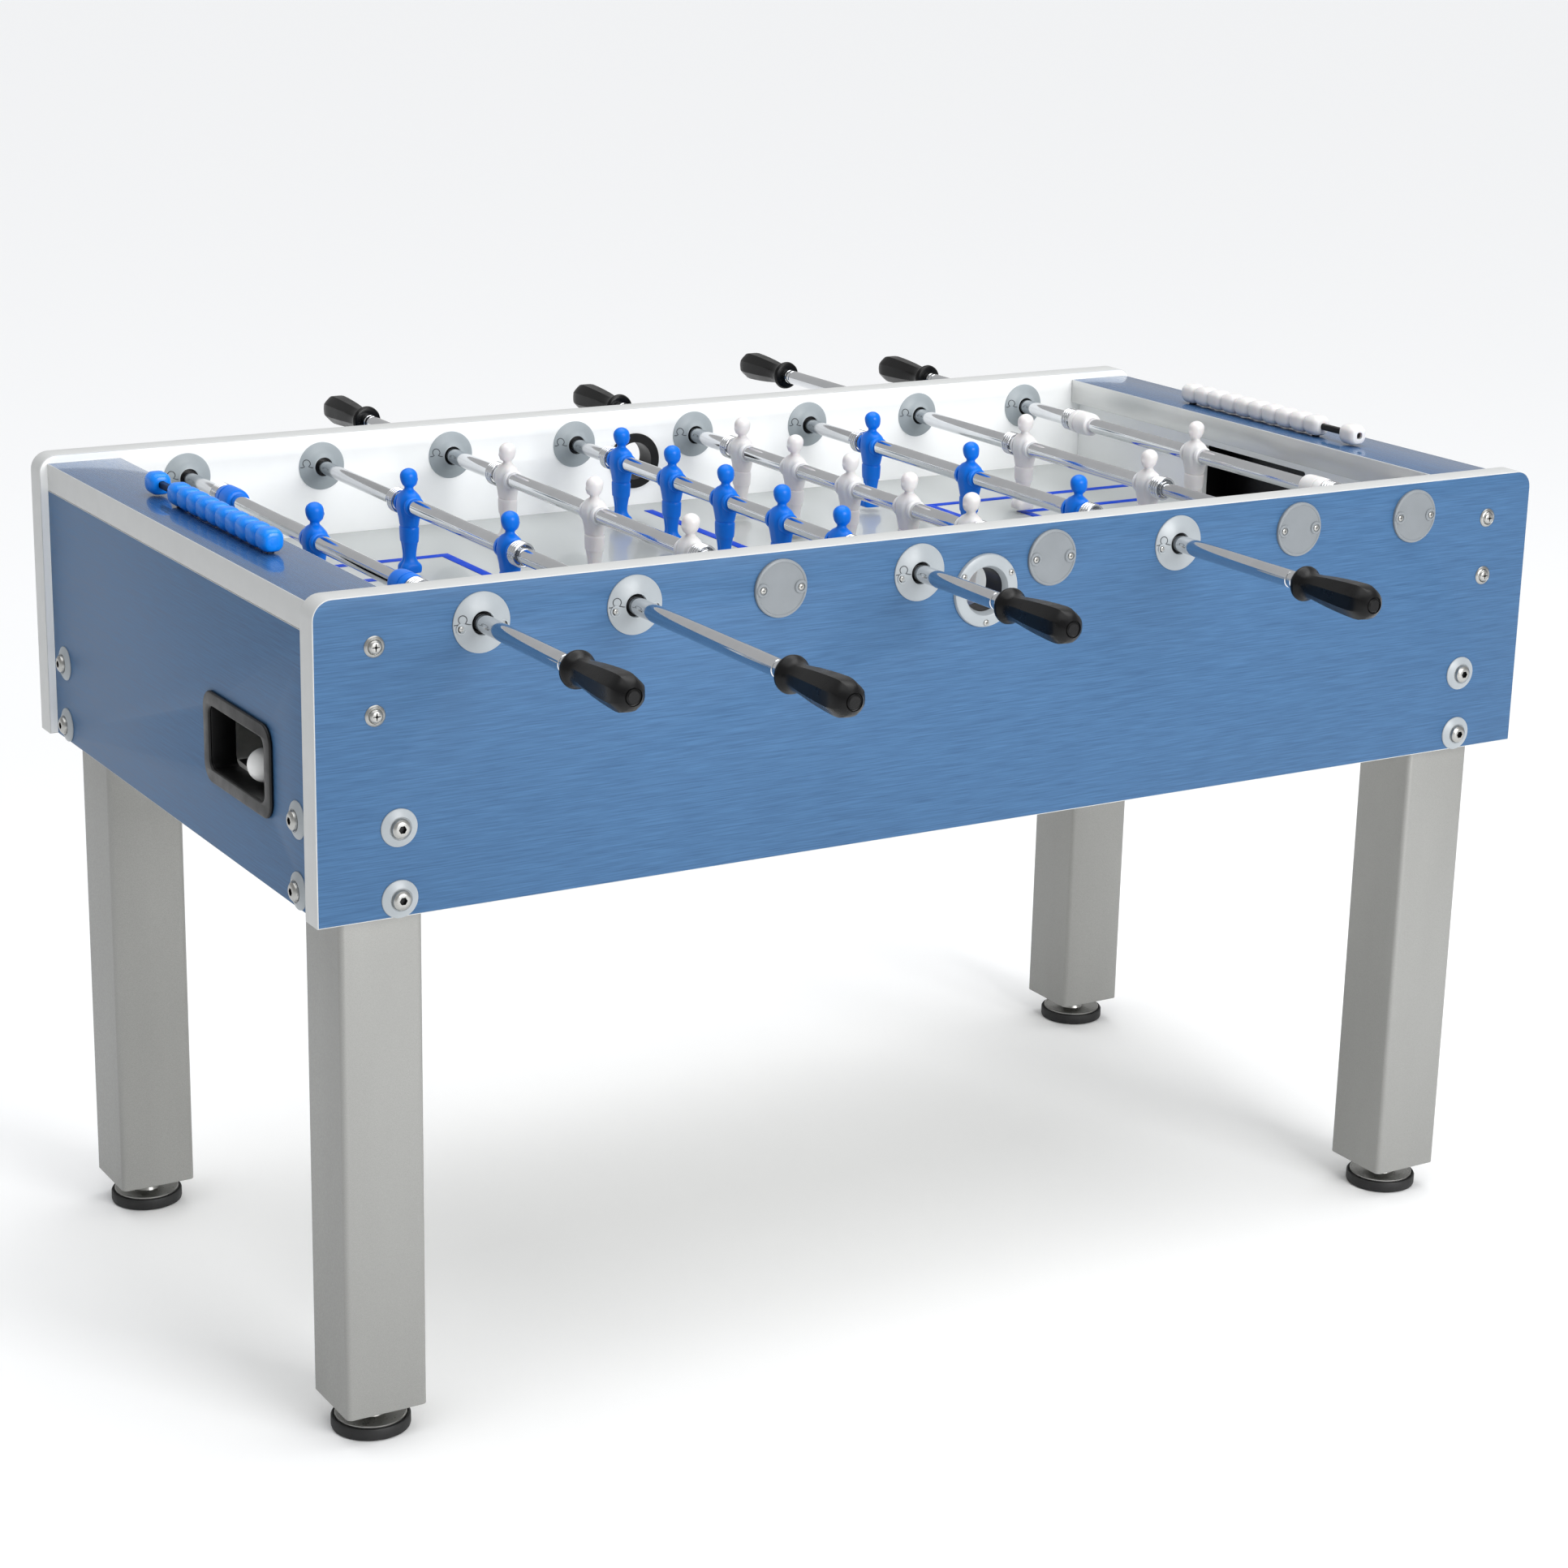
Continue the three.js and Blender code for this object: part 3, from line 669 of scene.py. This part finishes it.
def end_panel(name, side):
    """Outer end board with its bolts and the ball tray's frame, liner and ball."""
    board_x = abs(END_HIGH.x) - TRAY_FRAME_THICK
    width, height = END_HIGH.y - END_LOW.y, END_HIGH.z - END_LOW.z
    centre = (0, (END_HIGH.z + END_LOW.z) / 2)
    inner_face = facing((side, 0, 0), (side * (board_x - END_THICK), 0, 0))
    outer_face = facing((side, 0, 0), (side * board_x, 0, 0))
    board = Shape().plate(rounded(width, height, 1, centre, 2), [rounded(*TRAY_CUTOUT, TRAY_CENTRE)],
                          END_THICK, 0.6, inner_face, (0, 1, 2))
    board.piece(name.replace("end_panel", "end_board"), (BLUE_SIDE, INNER_WHITE, EDGE), "cabinet",
                "blue_laminate", replaces=(name,), sharp=25)
    tray = Shape()
    hole = rounded(*TRAY_HOLE, TRAY_CENTRE)
    tray.plate(rounded(*TRAY_FRAME, TRAY_CENTRE, 12), [hole], TRAY_FRAME_THICK, 1.8, outer_face)
    tray.plate(rounded(*TRAY_SLEEVE, TRAY_CENTRE), [hole], END_THICK + 1, 0.5, inner_face)
    tray.piece(name.replace("end_panel", "tray_frame"), (BLACK,), "cabinet", "black_plastic", sharp=50)
    turn = turned(side)
    tray_liner(name.replace("end_panel", "tray_liner"), turn, -board_x + END_THICK + 1)
    rest = Matrix.Translation((-board_x + 20, BALL_Y, LINER_FLOOR_Z + SHEET + BALL_R))
    ball(name.replace("end_panel", "ball"), turn @ rest)
    bolts = Shape()
    for y in (-END_BOLT_Y, END_BOLT_Y):
        for z in BOLT_Z:
            panel_bolt(bolts, facing((side, 0, 0), (side * board_x, y, z)))
    screw_piece(bolts, name.replace("end_panel", "end_bolts"))


def end_top(name, side):
    """Glossy top board with a silver lip on its inner edge, the goal below and the score bar above."""
    turn = turned(side)
    outer, inner = -TOP_HIGH.x, -TOP_LOW.x
    upper, edge, under, lip = range(4)
    board = Shape()
    board.plate(rounded(inner - outer, 2 * TOP_HIGH.y, 1.5, ((outer + inner) / 2, 0), 3), [], TOP_THICK, 1.0,
                turn @ Matrix.Translation((0, 0, TOP_Z - TOP_THICK)), (upper, under, edge))
    for index, face in enumerate(board.faces):
        centre = sum((board.points[i] for i in face), Vector()) / len(face)
        if board.slots[index] == edge and abs(centre.x) < abs(inner) + 0.2:
            board.slots[index] = lip
    board.piece(name.replace("end_top", "top_board"), (BLUE_TOP, EDGE, INNER_WHITE, SILVER_LIP), "cabinet",
                "blue_laminate", replaces=(name,), sharp=25)
    goal(name, turn)
    score_bar(name.replace("end_top", "score_bar"), turn)


def goal(name, turn):
    """White goal wall and the dark box behind its mouth."""
    middle_z = FIELD_HIGH.z + GOAL_HEIGHT / 2
    low, high = FIELD_LOW.z, TOP_Z - TOP_THICK - GAP
    back_x = -GOAL_WALL_X - GOAL_WALL_THICK
    wall = Shape()
    mouth = rounded(GOAL_WIDTH, GOAL_HEIGHT, 5, (0, middle_z), 5)
    wall.plate(rounded(2 * TOP_HIGH.y, high - low, 0.8, (0, (low + high) / 2), 2), [mouth],
               GOAL_WALL_THICK, 0.7, turn @ facing((1, 0, 0), (back_x, 0, 0)))
    wall.piece(name.replace("end_top", "goal_wall"), (INNER_WHITE,), "cabinet", "inner_white", sharp=25)
    box = Shape()
    width, height, depth = GOAL_WIDTH + 12, GOAL_HEIGHT + 8, GOAL_BOX_DEPTH
    start = back_x - GAP
    middle_x = start - depth / 2
    box.plate(rounded(width, height, 3, (0, middle_z), 3), [], SHEET, 0.5,
              turn @ facing((1, 0, 0), (start - depth, 0, 0)))
    for y in (-GOAL_WIDTH / 2 - 3, GOAL_WIDTH / 2 + 5):
        box.plate(rounded(depth, height, 2, (middle_x, middle_z), 2), [], SHEET, 0.5,
                  turn @ Matrix.Translation((0, y, 0)) @ Matrix.Rotation(math.pi / 2, 4, "X"))
    box.plate(rounded(depth, width, 2, (middle_x, 0), 2), [], SHEET, 0.5,
              turn @ Matrix.Translation((0, 0, FIELD_HIGH.z + GOAL_HEIGHT + 3)))
    box.piece(name.replace("end_top", "goal_box"), (BLACK,), "cabinet", "black_plastic")


def score_bar(name, turn):
    """Square bar on two posts with flared feet."""
    bar_z = TOP_Z + SCORE_LIFT
    bar = Shape()
    bar.plate(rounded(SCORE_BAR, SCORE_BAR, 1.2, (0, 0), 4), [], 2 * SCORE_BAR_HALF, 0.5,
              turn @ facing((0, 1, 0), (-SCORE_X, -SCORE_BAR_HALF, bar_z)))
    post = [(-4.2, TOP_Z), (4.2, TOP_Z), (3.0, TOP_Z + 2), (3.0, bar_z), (-3.0, bar_z), (-3.0, TOP_Z + 2)]
    for y in SCORE_POSTS:
        bar.plate(post, [], SCORE_POST, 0.6, turn @ facing((0, 1, 0), (-SCORE_X, y - SCORE_POST / 2, 0)))
    bar.piece(name, (BLACK,), "cabinet", "black_plastic")


def bead_rings(centre_y):
    """A softly squared bead around the score bar, swelling in the middle of its length."""
    segments, power = 48, 3.0
    hole = SCORE_BAR / 2 + 0.5
    half = BEAD_LENGTH / 2 - 0.2
    profile = [(hole, -half), (8.4, -half), (9.6, -half + 0.9), (11.2, -half + 4), (BEAD_R, -half + 8),
               (BEAD_R, half - 8), (11.2, half - 4), (9.6, half - 0.9), (8.4, half), (hole, half)]
    rings = []
    for radius, y in profile:
        ring = []
        for i in range(segments):
            angle = 2 * math.pi * i / segments
            c, s = math.cos(angle), math.sin(angle)
            stretch = (abs(c) ** power + abs(s) ** power) ** (-1 / power)
            reach = min(radius * stretch, radius * 1.09)
            ring.append((reach * c, reach * s, centre_y + y))
        rings.append(ring)
    return rings


def close_bead(shape, end, place):
    """The closed end of the stack's outermost bead, just inside its rim."""
    cap = [(0, end + 0.3), (7.2, end + 0.3), (8.2, end + 0.8), (8.2, end + 2.3), (0, end + 2.3)]
    shape.lathe(cap, place)


def score_beads(name, side, material, slot):
    """The single bead that slides, and the stack that waits at the bar's other end."""
    low, high = span(name)
    bead_y = abs(low.y + high.y) / 2
    along = turned(side) @ facing((0, 1, 0), (-SCORE_X, 0, TOP_Z + SCORE_LIFT))
    Shape().loft(bead_rings(bead_y), along, loop=True).piece(
        name.replace("score_bead", "counter_bead"), (material,), name, slot, replaces=(name,), sharp=60)
    stack = Shape()
    for i in range(BEAD_COUNT):
        stack.loft(bead_rings(STACK_START - BEAD_LENGTH * (i + 0.5)), along, loop=True)
    close_bead(stack, STACK_START - BEAD_LENGTH * BEAD_COUNT, along)
    stack.piece(name.replace("score_bead", "counter_stack"), (material,), "cabinet", slot, sharp=60)


# ---- playfield lines ----
def field_lines():
    """Printed lines: halfway line, centre circle, and two nested areas in front of each goal."""
    shape = Shape()

    def level(lift):
        """Crossing lines lie at slightly different heights, so that no two faces coincide."""
        return Matrix.Translation((0, 0, FIELD_HIGH.z - LINE_SUNK + lift))

    def strip(x0, y0, x1, y1):
        size = (abs(x1 - x0) + LINE_WIDTH, abs(y1 - y0) + LINE_WIDTH)
        centre = ((x0 + x1) / 2, (y0 + y1) / 2)
        lift = 0.06 if x0 == x1 else 0.0
        shape.plate(rounded(*size, 0.4, centre, 1), [], LINE_THICK, 0.02, level(lift))

    edge_y = FIELD_HIGH.y - HALFWAY_MARGIN
    strip(0, -edge_y, 0, edge_y)
    shape.plate(circle(CENTRE_CIRCLE_R, 96), [circle(CENTRE_CIRCLE_R - LINE_WIDTH, 96)], LINE_THICK, 0.02,
                level(0.03))
    for sx in (-1, 1):
        for x, y in AREA_CORNERS:
            strip(sx * x, -y, sx * x, y)
            for sy in (-1, 1):
                strip(sx * x, sy * y, sx * (FIELD_HIGH.x - LINE_WIDTH), sy * y)
    shape.piece("field_lines", (LINE_BLUE,), "cabinet", "field_glass")


# ---- legs ----
def leg(name):
    """Square tube with a closed lower end, and its levelling foot: pad, cup, threaded rod and nut."""
    low, high = span(name)
    centre = ((low.x + high.x) / 2, (low.y + high.y) / 2)
    inside = LEG_SIDE - 2 * LEG_WALL
    bore = rounded(inside, inside, 3, centre, 4)
    post = Shape()
    post.plate(rounded(LEG_SIDE, LEG_SIDE, LEG_CORNER_R, centre, 6), [bore],
               high.z - LEG_BOTTOM, 0.6, Matrix.Translation((0, 0, LEG_BOTTOM)))
    post.plate(bore, [], LEG_WALL, 0.5, Matrix.Translation((0, 0, LEG_BOTTOM + 1)))
    post.piece(name.replace("leg_", "leg_post_"), (LEG,), "cabinet", "leg_coat", replaces=(name,), sharp=30)
    foot = Shape()
    pad, steel = range(2)
    place = Matrix.Translation((*centre, 0))
    foot.lathe([(0, 0), (38, 0), (40.4, 1.2), (41, 3), (41, 12), (40.2, 13.4), (38.6, 13.8), (37.6, 12.4),
                (0, 12.0)], place, pad, 72)
    foot.lathe([(0, 11.6), (36.8, 11.6), (37.4, 12.6), (37.2, 15.2), (36.2, 15.8), (35.4, 14.6), (22, 13.4),
                (16, 15.5), (15, 18.5), (0, 18.5)], place, steel, 72)
    thread = [(0, 18.0)]
    for i in range(9):
        z = 18.4 + i * 1.7
        thread += [(8.6, z), (7.7, z + 0.85)]
    thread += [(8.6, LEG_BOTTOM + 2), (0, LEG_BOTTOM + 2)]
    foot.lathe(thread, place, steel, 40)
    under_leg = place @ Matrix.Translation((0, 0, LEG_BOTTOM - NUT_THICK - 0.2))
    foot.plate(circle(NUT_R, 6), [], NUT_THICK, 0.8, under_leg, (steel,) * 3)
    foot.piece(name.replace("leg_", "levelling_foot_"), (RUBBER, SCREW), "cabinet", "black_plastic")


# ---- rods ----
def rod_place(n):
    """Local Z runs along the rod towards its handle, from the middle of the table."""
    return facing((0, ROD_SIDE[n], 0), (ROD_X[n], 0, ROD_Z))


def rod_team(n):
    return (BLUE_MAN, "blue_figure") if n in BLUE_RODS else (WHITE_MAN, "white_figure")


def rod_reach(n):
    """Half the space that a rod's players or bumpers take, from the middle."""
    if n in GOALIE_RODS:
        return BUMPER_Y + BUMPER_LENGTH / 2
    return max(abs(corner.y) for name in PLAYERS if name.startswith(f"player_{n}_") for corner in span(name))


def handle_start(n):
    """Distance of a handle's collar from the middle of the table."""
    low, high = span(f"handle_{n}")
    return min(abs(low.y), abs(high.y))


def rod_ends(node, n):
    """Where a tube or bar of rod n starts and ends, measured towards its handle."""
    return sorted(corner.y * ROD_SIDE[n] for corner in span(node))


def tube(n):
    """Chrome tube with two grooves before the handle's collar."""
    start, end = rod_ends(f"tube_{n}", n)
    profile = [(TUBE_BORE_R, end), (TUBE_BORE_R, start), (TUBE_R - 0.5, start), (TUBE_R, start + 0.6)]
    for back in (17, 9):
        groove = handle_start(n) - back
        profile += [(TUBE_R, groove - 1.4), (TUBE_R - 0.7, groove - 0.8), (TUBE_R - 0.7, groove + 0.8),
                    (TUBE_R, groove + 1.4)]
    profile += [(TUBE_R, end)]
    Shape().lathe(profile, rod_place(n), segments=64).piece(
        f"rod_tube_{n}", (CHROME,), f"rod_{n}", "chrome_tube", replaces=(f"tube_{n}",), sharp=28)


def guide_bar(n):
    """Plain steel bar with a chamfered end inside the tube."""
    start, end = rod_ends(f"guide_bar_{n}", n)
    profile = [(0, start), (BAR_R, start), (BAR_R, end - 1.5), (BAR_R - 1.2, end), (0, end)]
    Shape().lathe(profile, rod_place(n), segments=56).piece(
        f"inner_bar_{n}", (STEEL,), f"guide_bar_{n}", "steel_bar", replaces=(f"guide_bar_{n}",), sharp=28)


def springs(n):
    """A short open coil on each side of the rod's players."""
    turns, steps, wire, coil_r = 3.5, 36, 1.5, 12.3
    start = rod_reach(n) + wire + 0.2
    run = SPRING_LENGTH - 2 * wire - 0.6
    shape = Shape()
    for side in (-1, 1):
        path = []
        for i in range(int(turns * steps) + 1):
            angle = 2 * math.pi * i / steps
            path.append(Vector((coil_r * math.cos(angle), coil_r * math.sin(angle),
                                side * (start + run * i / (turns * steps)))))
        shape.sweep(path, wire, rod_place(n), 0, 10)
    shape.piece(f"springs_{n}", (CHROME,), f"rod_{n}", "chrome_tube", sharp=60)


def bumpers(n):
    """Stop sleeves at both ends of a goalkeeper's rod."""
    material, slot = rod_team(n)
    h, r = BUMPER_LENGTH / 2, BUMPER_R
    bore = TUBE_R + 0.1
    shape = Shape()
    for side in (-1, 1):
        profile = [(bore, -h), (r - 2.6, -h), (r - 0.9, -h + 1.2), (r - 0.3, -h + 4), (r, -h + 9), (r, 5),
                   (r - 1.0, 5.8), (r - 1.0, 7.4), (r, 8.2), (r - 0.2, h - 3), (r - 1.0, h - 0.8),
                   (r - 2.4, h), (bore, h)]
        shape.lathe([(radius, side * (BUMPER_Y + height)) for radius, height in profile], rod_place(n))
    shape.piece(f"bumpers_{n}", (material,), f"rod_{n}", slot, sharp=40)


# Distance along a grip, radius, and how far the section has turned from round to eight-sided.
GRIP_SECTIONS = [
    (-0.2, 14.6, 0), (0.6, 16.8, 0), (2.2, 17.9, 0), (4.8, 18.4, 0), (7.0, 17.8, 0), (9.6, 15.8, 0),
    (13, 14.1, 0), (17, 13.4, 0.1), (22, 13.5, 0.4), (30, 14.3, 0.9), (44, 15.9, 1), (60, 17.2, 1),
    (76, 18.2, 1), (90, 18.7, 1), (97, 18.2, 0.9), (102.5, 16.6, 0.6), (107, 13.8, 0.3), (110.0, 10.4, 0),
]
# Radius of a grip's end cap and its distance back from the grip's end.
GRIP_CAP = [(8.6, 0.6), (8.2, 2.2), (7.6, 2.4), (7.2, 1.2), (5.5, 0)]


def handle(n):
    """Round flared collar and waist running into an eight-sided barrel with an inset end cap."""
    low, high = span(f"handle_{n}")
    start = handle_start(n)
    end = start + (high.y - low.y)
    segments = 96
    tube_end = rod_ends(f"tube_{n}", n)[1] + 0.5
    bore = circle(TUBE_R + 0.15, segments)
    rings = [[(0, 0, tube_end)], [(x, y, tube_end) for x, y in bore], [(x, y, start + 0.2) for x, y in bore]]

    def ring(at, radius, turned):
        points = []
        for i in range(segments):
            angle = 2 * math.pi * i / segments
            off = (angle + math.pi / 8) % (math.pi / 4) - math.pi / 8
            facet = math.cos(math.pi / 8) / math.cos(off)
            reach = radius * (1 - turned + turned * facet)
            points.append((reach * math.cos(angle), reach * math.sin(angle), start + at))
        return points

    rings += [ring(*section) for section in GRIP_SECTIONS]
    rings += [[(x, y, end - back) for x, y in circle(radius, segments)] for radius, back in GRIP_CAP]
    rings.append([(0, 0, end)])
    Shape().loft(rings, rod_place(n)).piece(
        f"grip_{n}", (GRIP,), f"rod_{n}", "black_grip", replaces=(f"handle_{n}",), sharp=34)


# ---- players ----
# Height above the rod, half width, half depth, forward shift and squareness of a player's outline.
PLAYER_SECTIONS = [
    (-76.0, 9.4, 10.2, 0.2, 4.5), (-75.2, 10.6, 11.4, 0.3, 4.5), (-70.0, 10.9, 12.0, 0.4, 4.2),
    (-66.5, 10.5, 10.8, 0.4, 3.6), (-63.0, 9.0, 8.0, 0.2, 3.0), (-58.0, 8.0, 6.8, 0.0, 2.6),
    (-50.0, 9.0, 7.4, 0.0, 2.5), (-42.5, 10.8, 8.3, 0.0, 2.5), (-41.2, 11.3, 8.6, 0.0, 2.5),
    (-40.4, 12.2, 9.2, 0.0, 2.5), (-32.0, 13.0, 9.6, 0.0, 2.5), (-25.2, 13.2, 9.6, 0.0, 2.5),
    (-24.4, 12.3, 9.0, 0.0, 2.5), (-23.2, 12.2, 9.0, 0.0, 2.5), (-22.2, 12.9, 9.4, 0.0, 2.5),
    (-14.0, 14.9, 10.6, 0.0, 2.6), (-6.0, 16.6, 12.6, 0.1, 2.6), (0.0, 17.0, 13.4, 0.2, 2.5),
    (6.0, 17.0, 12.6, 0.2, 2.4), (10.5, 16.0, 10.6, 0.1, 2.3), (13.5, 13.4, 8.4, 0.0, 2.2),
    (15.6, 9.4, 6.6, 0.0, 2.1), (17.2, 6.2, 5.4, 0.0, 2.0), (19.2, 5.2, 5.0, 0.2, 2.0),
    (20.8, 5.9, 6.0, 0.7, 2.0), (22.6, 7.2, 7.8, 0.8, 2.0), (25.5, 8.5, 9.0, 0.6, 2.0),
    (29.5, 9.1, 9.7, 0.2, 2.0), (33.5, 9.0, 9.7, 0.0, 2.0), (37.0, 7.5, 8.2, 0.0, 2.0),
    (39.6, 4.7, 5.2, 0.0, 2.0), (40.7, 2.0, 2.2, 0.0, 2.0),
]
PLAYER_TOP = 41.0
# Height above the rod, reach and steepness of the band that each feature of a player takes up.
ARMS, LEGS, FACE, CHIN = (-3, 13, 4), (-58, 13, 4), (27.5, 2.2, 2), (22.2, 1.8, 2)


def smooth_sections(steps=3):
    """Sections between the stated ones, by Catmull-Rom curves."""
    rows = [Vector(row[:3] + (0,)) for row in PLAYER_SECTIONS]
    extra = [Vector(row[3:]) for row in PLAYER_SECTIONS]
    result = []
    for i in range(len(rows) - 1):
        def pick(values, k):
            return values[min(max(k, 0), len(values) - 1)]
        for step in range(steps):
            t = step / steps
            made = []
            for values in (rows, extra):
                a, b, c, d = (pick(values, i + k) for k in (-1, 0, 1, 2))
                made.append(0.5 * (2 * b + (c - a) * t + (2 * a - 5 * b + 4 * c - d) * t * t
                                   + (3 * b - a - 3 * c + d) * t ** 3))
            result.append((*made[0][:3], *made[1]))
    result.append(PLAYER_SECTIONS[-1])
    return result


def band(value, middle, reach, steepness=2):
    """1 at the middle of a band, falling to 0 outside its reach."""
    return math.exp(-((value - middle) / reach) ** steepness)


def player_rings():
    """Rings of a mannequin player that faces local +X, with its height along local Z."""
    segments = 56
    rings = [[(0.2, 0, PLAYER_SECTIONS[0][0])]]
    for z, across, deep, forward, power in smooth_sections():
        arms, legs, face, chin = (band(z, *feature) for feature in (ARMS, LEGS, FACE, CHIN))
        ring = []
        for i in range(segments):
            angle = 2 * math.pi * i / segments
            c, s = math.cos(angle), math.sin(angle)
            stretch = (abs(c) ** power + abs(s) ** power) ** (-1 / power)
            x, y = deep * stretch * c, across * stretch * s
            from_side = abs(abs(math.atan2(c, s)) - math.pi / 2)
            groove = band(from_side, 0.62, 0.13) * arms
            split = band(s, 0, 0.16) * legs
            shrink = 1 - 0.10 * groove - 0.16 * split
            front = band(s, 0, 0.26) if c > 0 else 0.0
            ring.append((x * shrink + forward + front * (1.5 * face + 0.8 * chin), y * shrink, z))
        rings.append(ring)
    rings.append([(0, 0, PLAYER_TOP)])
    return rings


def bored_player():
    """Points and faces of one player with the rod's hole cut through."""
    drill = [(0, -30), (TUBE_R + 0.1, -30), (TUBE_R + 0.1, 30), (0, 30)]
    shapes = (Shape().loft(player_rings()), Shape().lathe(drill, facing((0, 1, 0)), segments=40))
    solid, hole = (place_object("player", outward_mesh("player", shape.points, shape.faces))
                   for shape in shapes)
    cut = solid.modifiers.new("bore", "BOOLEAN")
    cut.operation = "DIFFERENCE"
    cut.solver = "EXACT"
    cut.object = hole
    bpy.context.view_layer.update()
    result = bpy.data.meshes.new_from_object(solid.evaluated_get(bpy.context.evaluated_depsgraph_get()))
    points = [vertex.co.copy() for vertex in result.vertices]
    faces = [list(polygon.vertices) for polygon in result.polygons]
    bpy.data.meshes.remove(result)
    for holder in (solid, hole):
        mesh = holder.data
        bpy.data.objects.remove(holder)
        bpy.data.meshes.remove(mesh)
    return points, faces


def players():
    """The same player on every player node, with a collar on the tube at each side."""
    points, faces = bored_player()
    for name in PLAYERS:
        n = int(name.split("_")[1])
        low, high = span(name)
        material, slot = rod_team(n)
        place = Matrix.Translation((ROD_X[n], (low.y + high.y) / 2, ROD_Z)) @ turned(ROD_SIDE[n])
        man = Shape()
        man.add(points, faces, place, [0] * len(faces))
        for side in (-1, 1):
            man.lathe([(TUBE_R + 0.1, 12), (11.4, 12), (11.4, 16.4), (10.9, 17), (TUBE_R + 0.1, 17)],
                      place @ facing((0, side, 0)), 0, 40)
        man.piece(name.replace("player", "man"), (material,), f"rod_{n}", slot, replaces=(name,), sharp=65)


# ---- stage, light and camera, in metres and degrees ----
FLOOR_HALF = 30.0
CAMERA_PLACE = (-1.910, -3.177, 1.605)
CAMERA_YAW, CAMERA_PITCH, CAMERA_ROLL = -31.05, 16.47, 1.27
CAMERA_LENS, SENSOR_WIDTH = 76.3, 36


def area_light(name, place, aim, size, power):
    data = bpy.data.lights.new(name, "AREA")
    data.shape = "RECTANGLE"
    data.size, data.size_y = size
    data.energy = power
    lamp = place_object(name, data)
    lamp.location = place
    lamp.rotation_euler = (Vector(aim) - Vector(place)).to_track_quat("-Z", "Y").to_euler()


def studio():
    """Pale floor, three lights, and a world that camera, glossy and other rays each see differently."""
    mesh = bpy.data.meshes.new("studio_floor")
    corners = [(x * FLOOR_HALF, y * FLOOR_HALF, 0) for x, y in ((-1, -1), (1, -1), (1, 1), (-1, 1))]
    mesh.from_pydata(corners, [], [(0, 1, 2, 3)])
    floor = place_object("studio_floor", mesh)
    floor.data.materials.append(Finish("pale_floor", grey(0.98), 0.7).material)
    world = bpy.data.worlds.new("studio_world")
    world.use_nodes = True
    tree = world.node_tree
    room = tree.nodes["Background"]
    room.inputs["Color"].default_value = (0.93, 0.96, 1.0, 1.0)
    room.inputs["Strength"].default_value = 0.36
    shown = room.outputs["Background"]
    rays = tree.nodes.new("ShaderNodeLightPath")
    for ray, colour in (("Is Glossy Ray", grey(0.5)), ("Is Camera Ray", grey(1.0))):
        backdrop = tree.nodes.new("ShaderNodeBackground")
        backdrop.inputs["Color"].default_value = colour
        choice = tree.nodes.new("ShaderNodeMixShader")
        tree.links.new(rays.outputs[ray], choice.inputs["Fac"])
        tree.links.new(shown, choice.inputs[1])
        tree.links.new(backdrop.outputs["Background"], choice.inputs[2])
        shown = choice.outputs["Shader"]
    tree.links.new(shown, tree.nodes["World Output"].inputs["Surface"])
    bpy.context.scene.world = world
    overhead = bpy.data.lights.new("overhead", "SUN")
    overhead.energy = 1.85
    overhead.angle = math.radians(70)
    place_object("overhead", overhead)
    area_light("top_softbox", (0.6, 0.2, 3.2), (0, 0, 0.8), (2.6, 1.6), 20)
    area_light("key_softbox", (0.9, -5.0, 2.2), (0, 0, 0.6), (2.6, 2.2), 190)
    bpy.context.scene.view_settings.view_transform = "Standard"


def camera():
    data = bpy.data.cameras.new("camera")
    data.sensor_width = SENSOR_WIDTH
    data.lens = CAMERA_LENS
    made = place_object("camera", data)
    yaw, tilt, roll = (math.radians(a) for a in (CAMERA_YAW, 90 - CAMERA_PITCH, CAMERA_ROLL))
    turn = Matrix.Rotation(yaw, 4, "Z") @ Matrix.Rotation(tilt, 4, "X") @ Matrix.Rotation(roll, 4, "Z")
    made.matrix_world = Matrix.Translation(CAMERA_PLACE) @ turn
    bpy.context.scene.camera = made


def repaint(node, material):
    """Gives a CAD node that stays visible its finished material."""
    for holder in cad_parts[node].material_slots:
        holder.material = material


camera()
studio()
side_panel("side_panel_front", -1)
side_panel("side_panel_back", 1)
end_panel("end_panel_left", -1)
end_panel("end_panel_right", 1)
end_top("end_top_left", -1)
end_top("end_top_right", 1)
score_beads("score_bead_left", -1, BLUE_BEAD, "blue_figure")
score_beads("score_bead_right", 1, WHITE_MAN, "white_figure")
repaint("playfield", FIELD)
repaint("return_floor", RETURN_WHITE)
field_lines()
for corner in ("front_left", "front_right", "back_left", "back_right"):
    leg(f"leg_{corner}")
bearings()
for rod in RODS:
    tube(rod)
    guide_bar(rod)
    springs(rod)
    handle(rod)
for rod in GOALIE_RODS:
    bumpers(rod)
players()
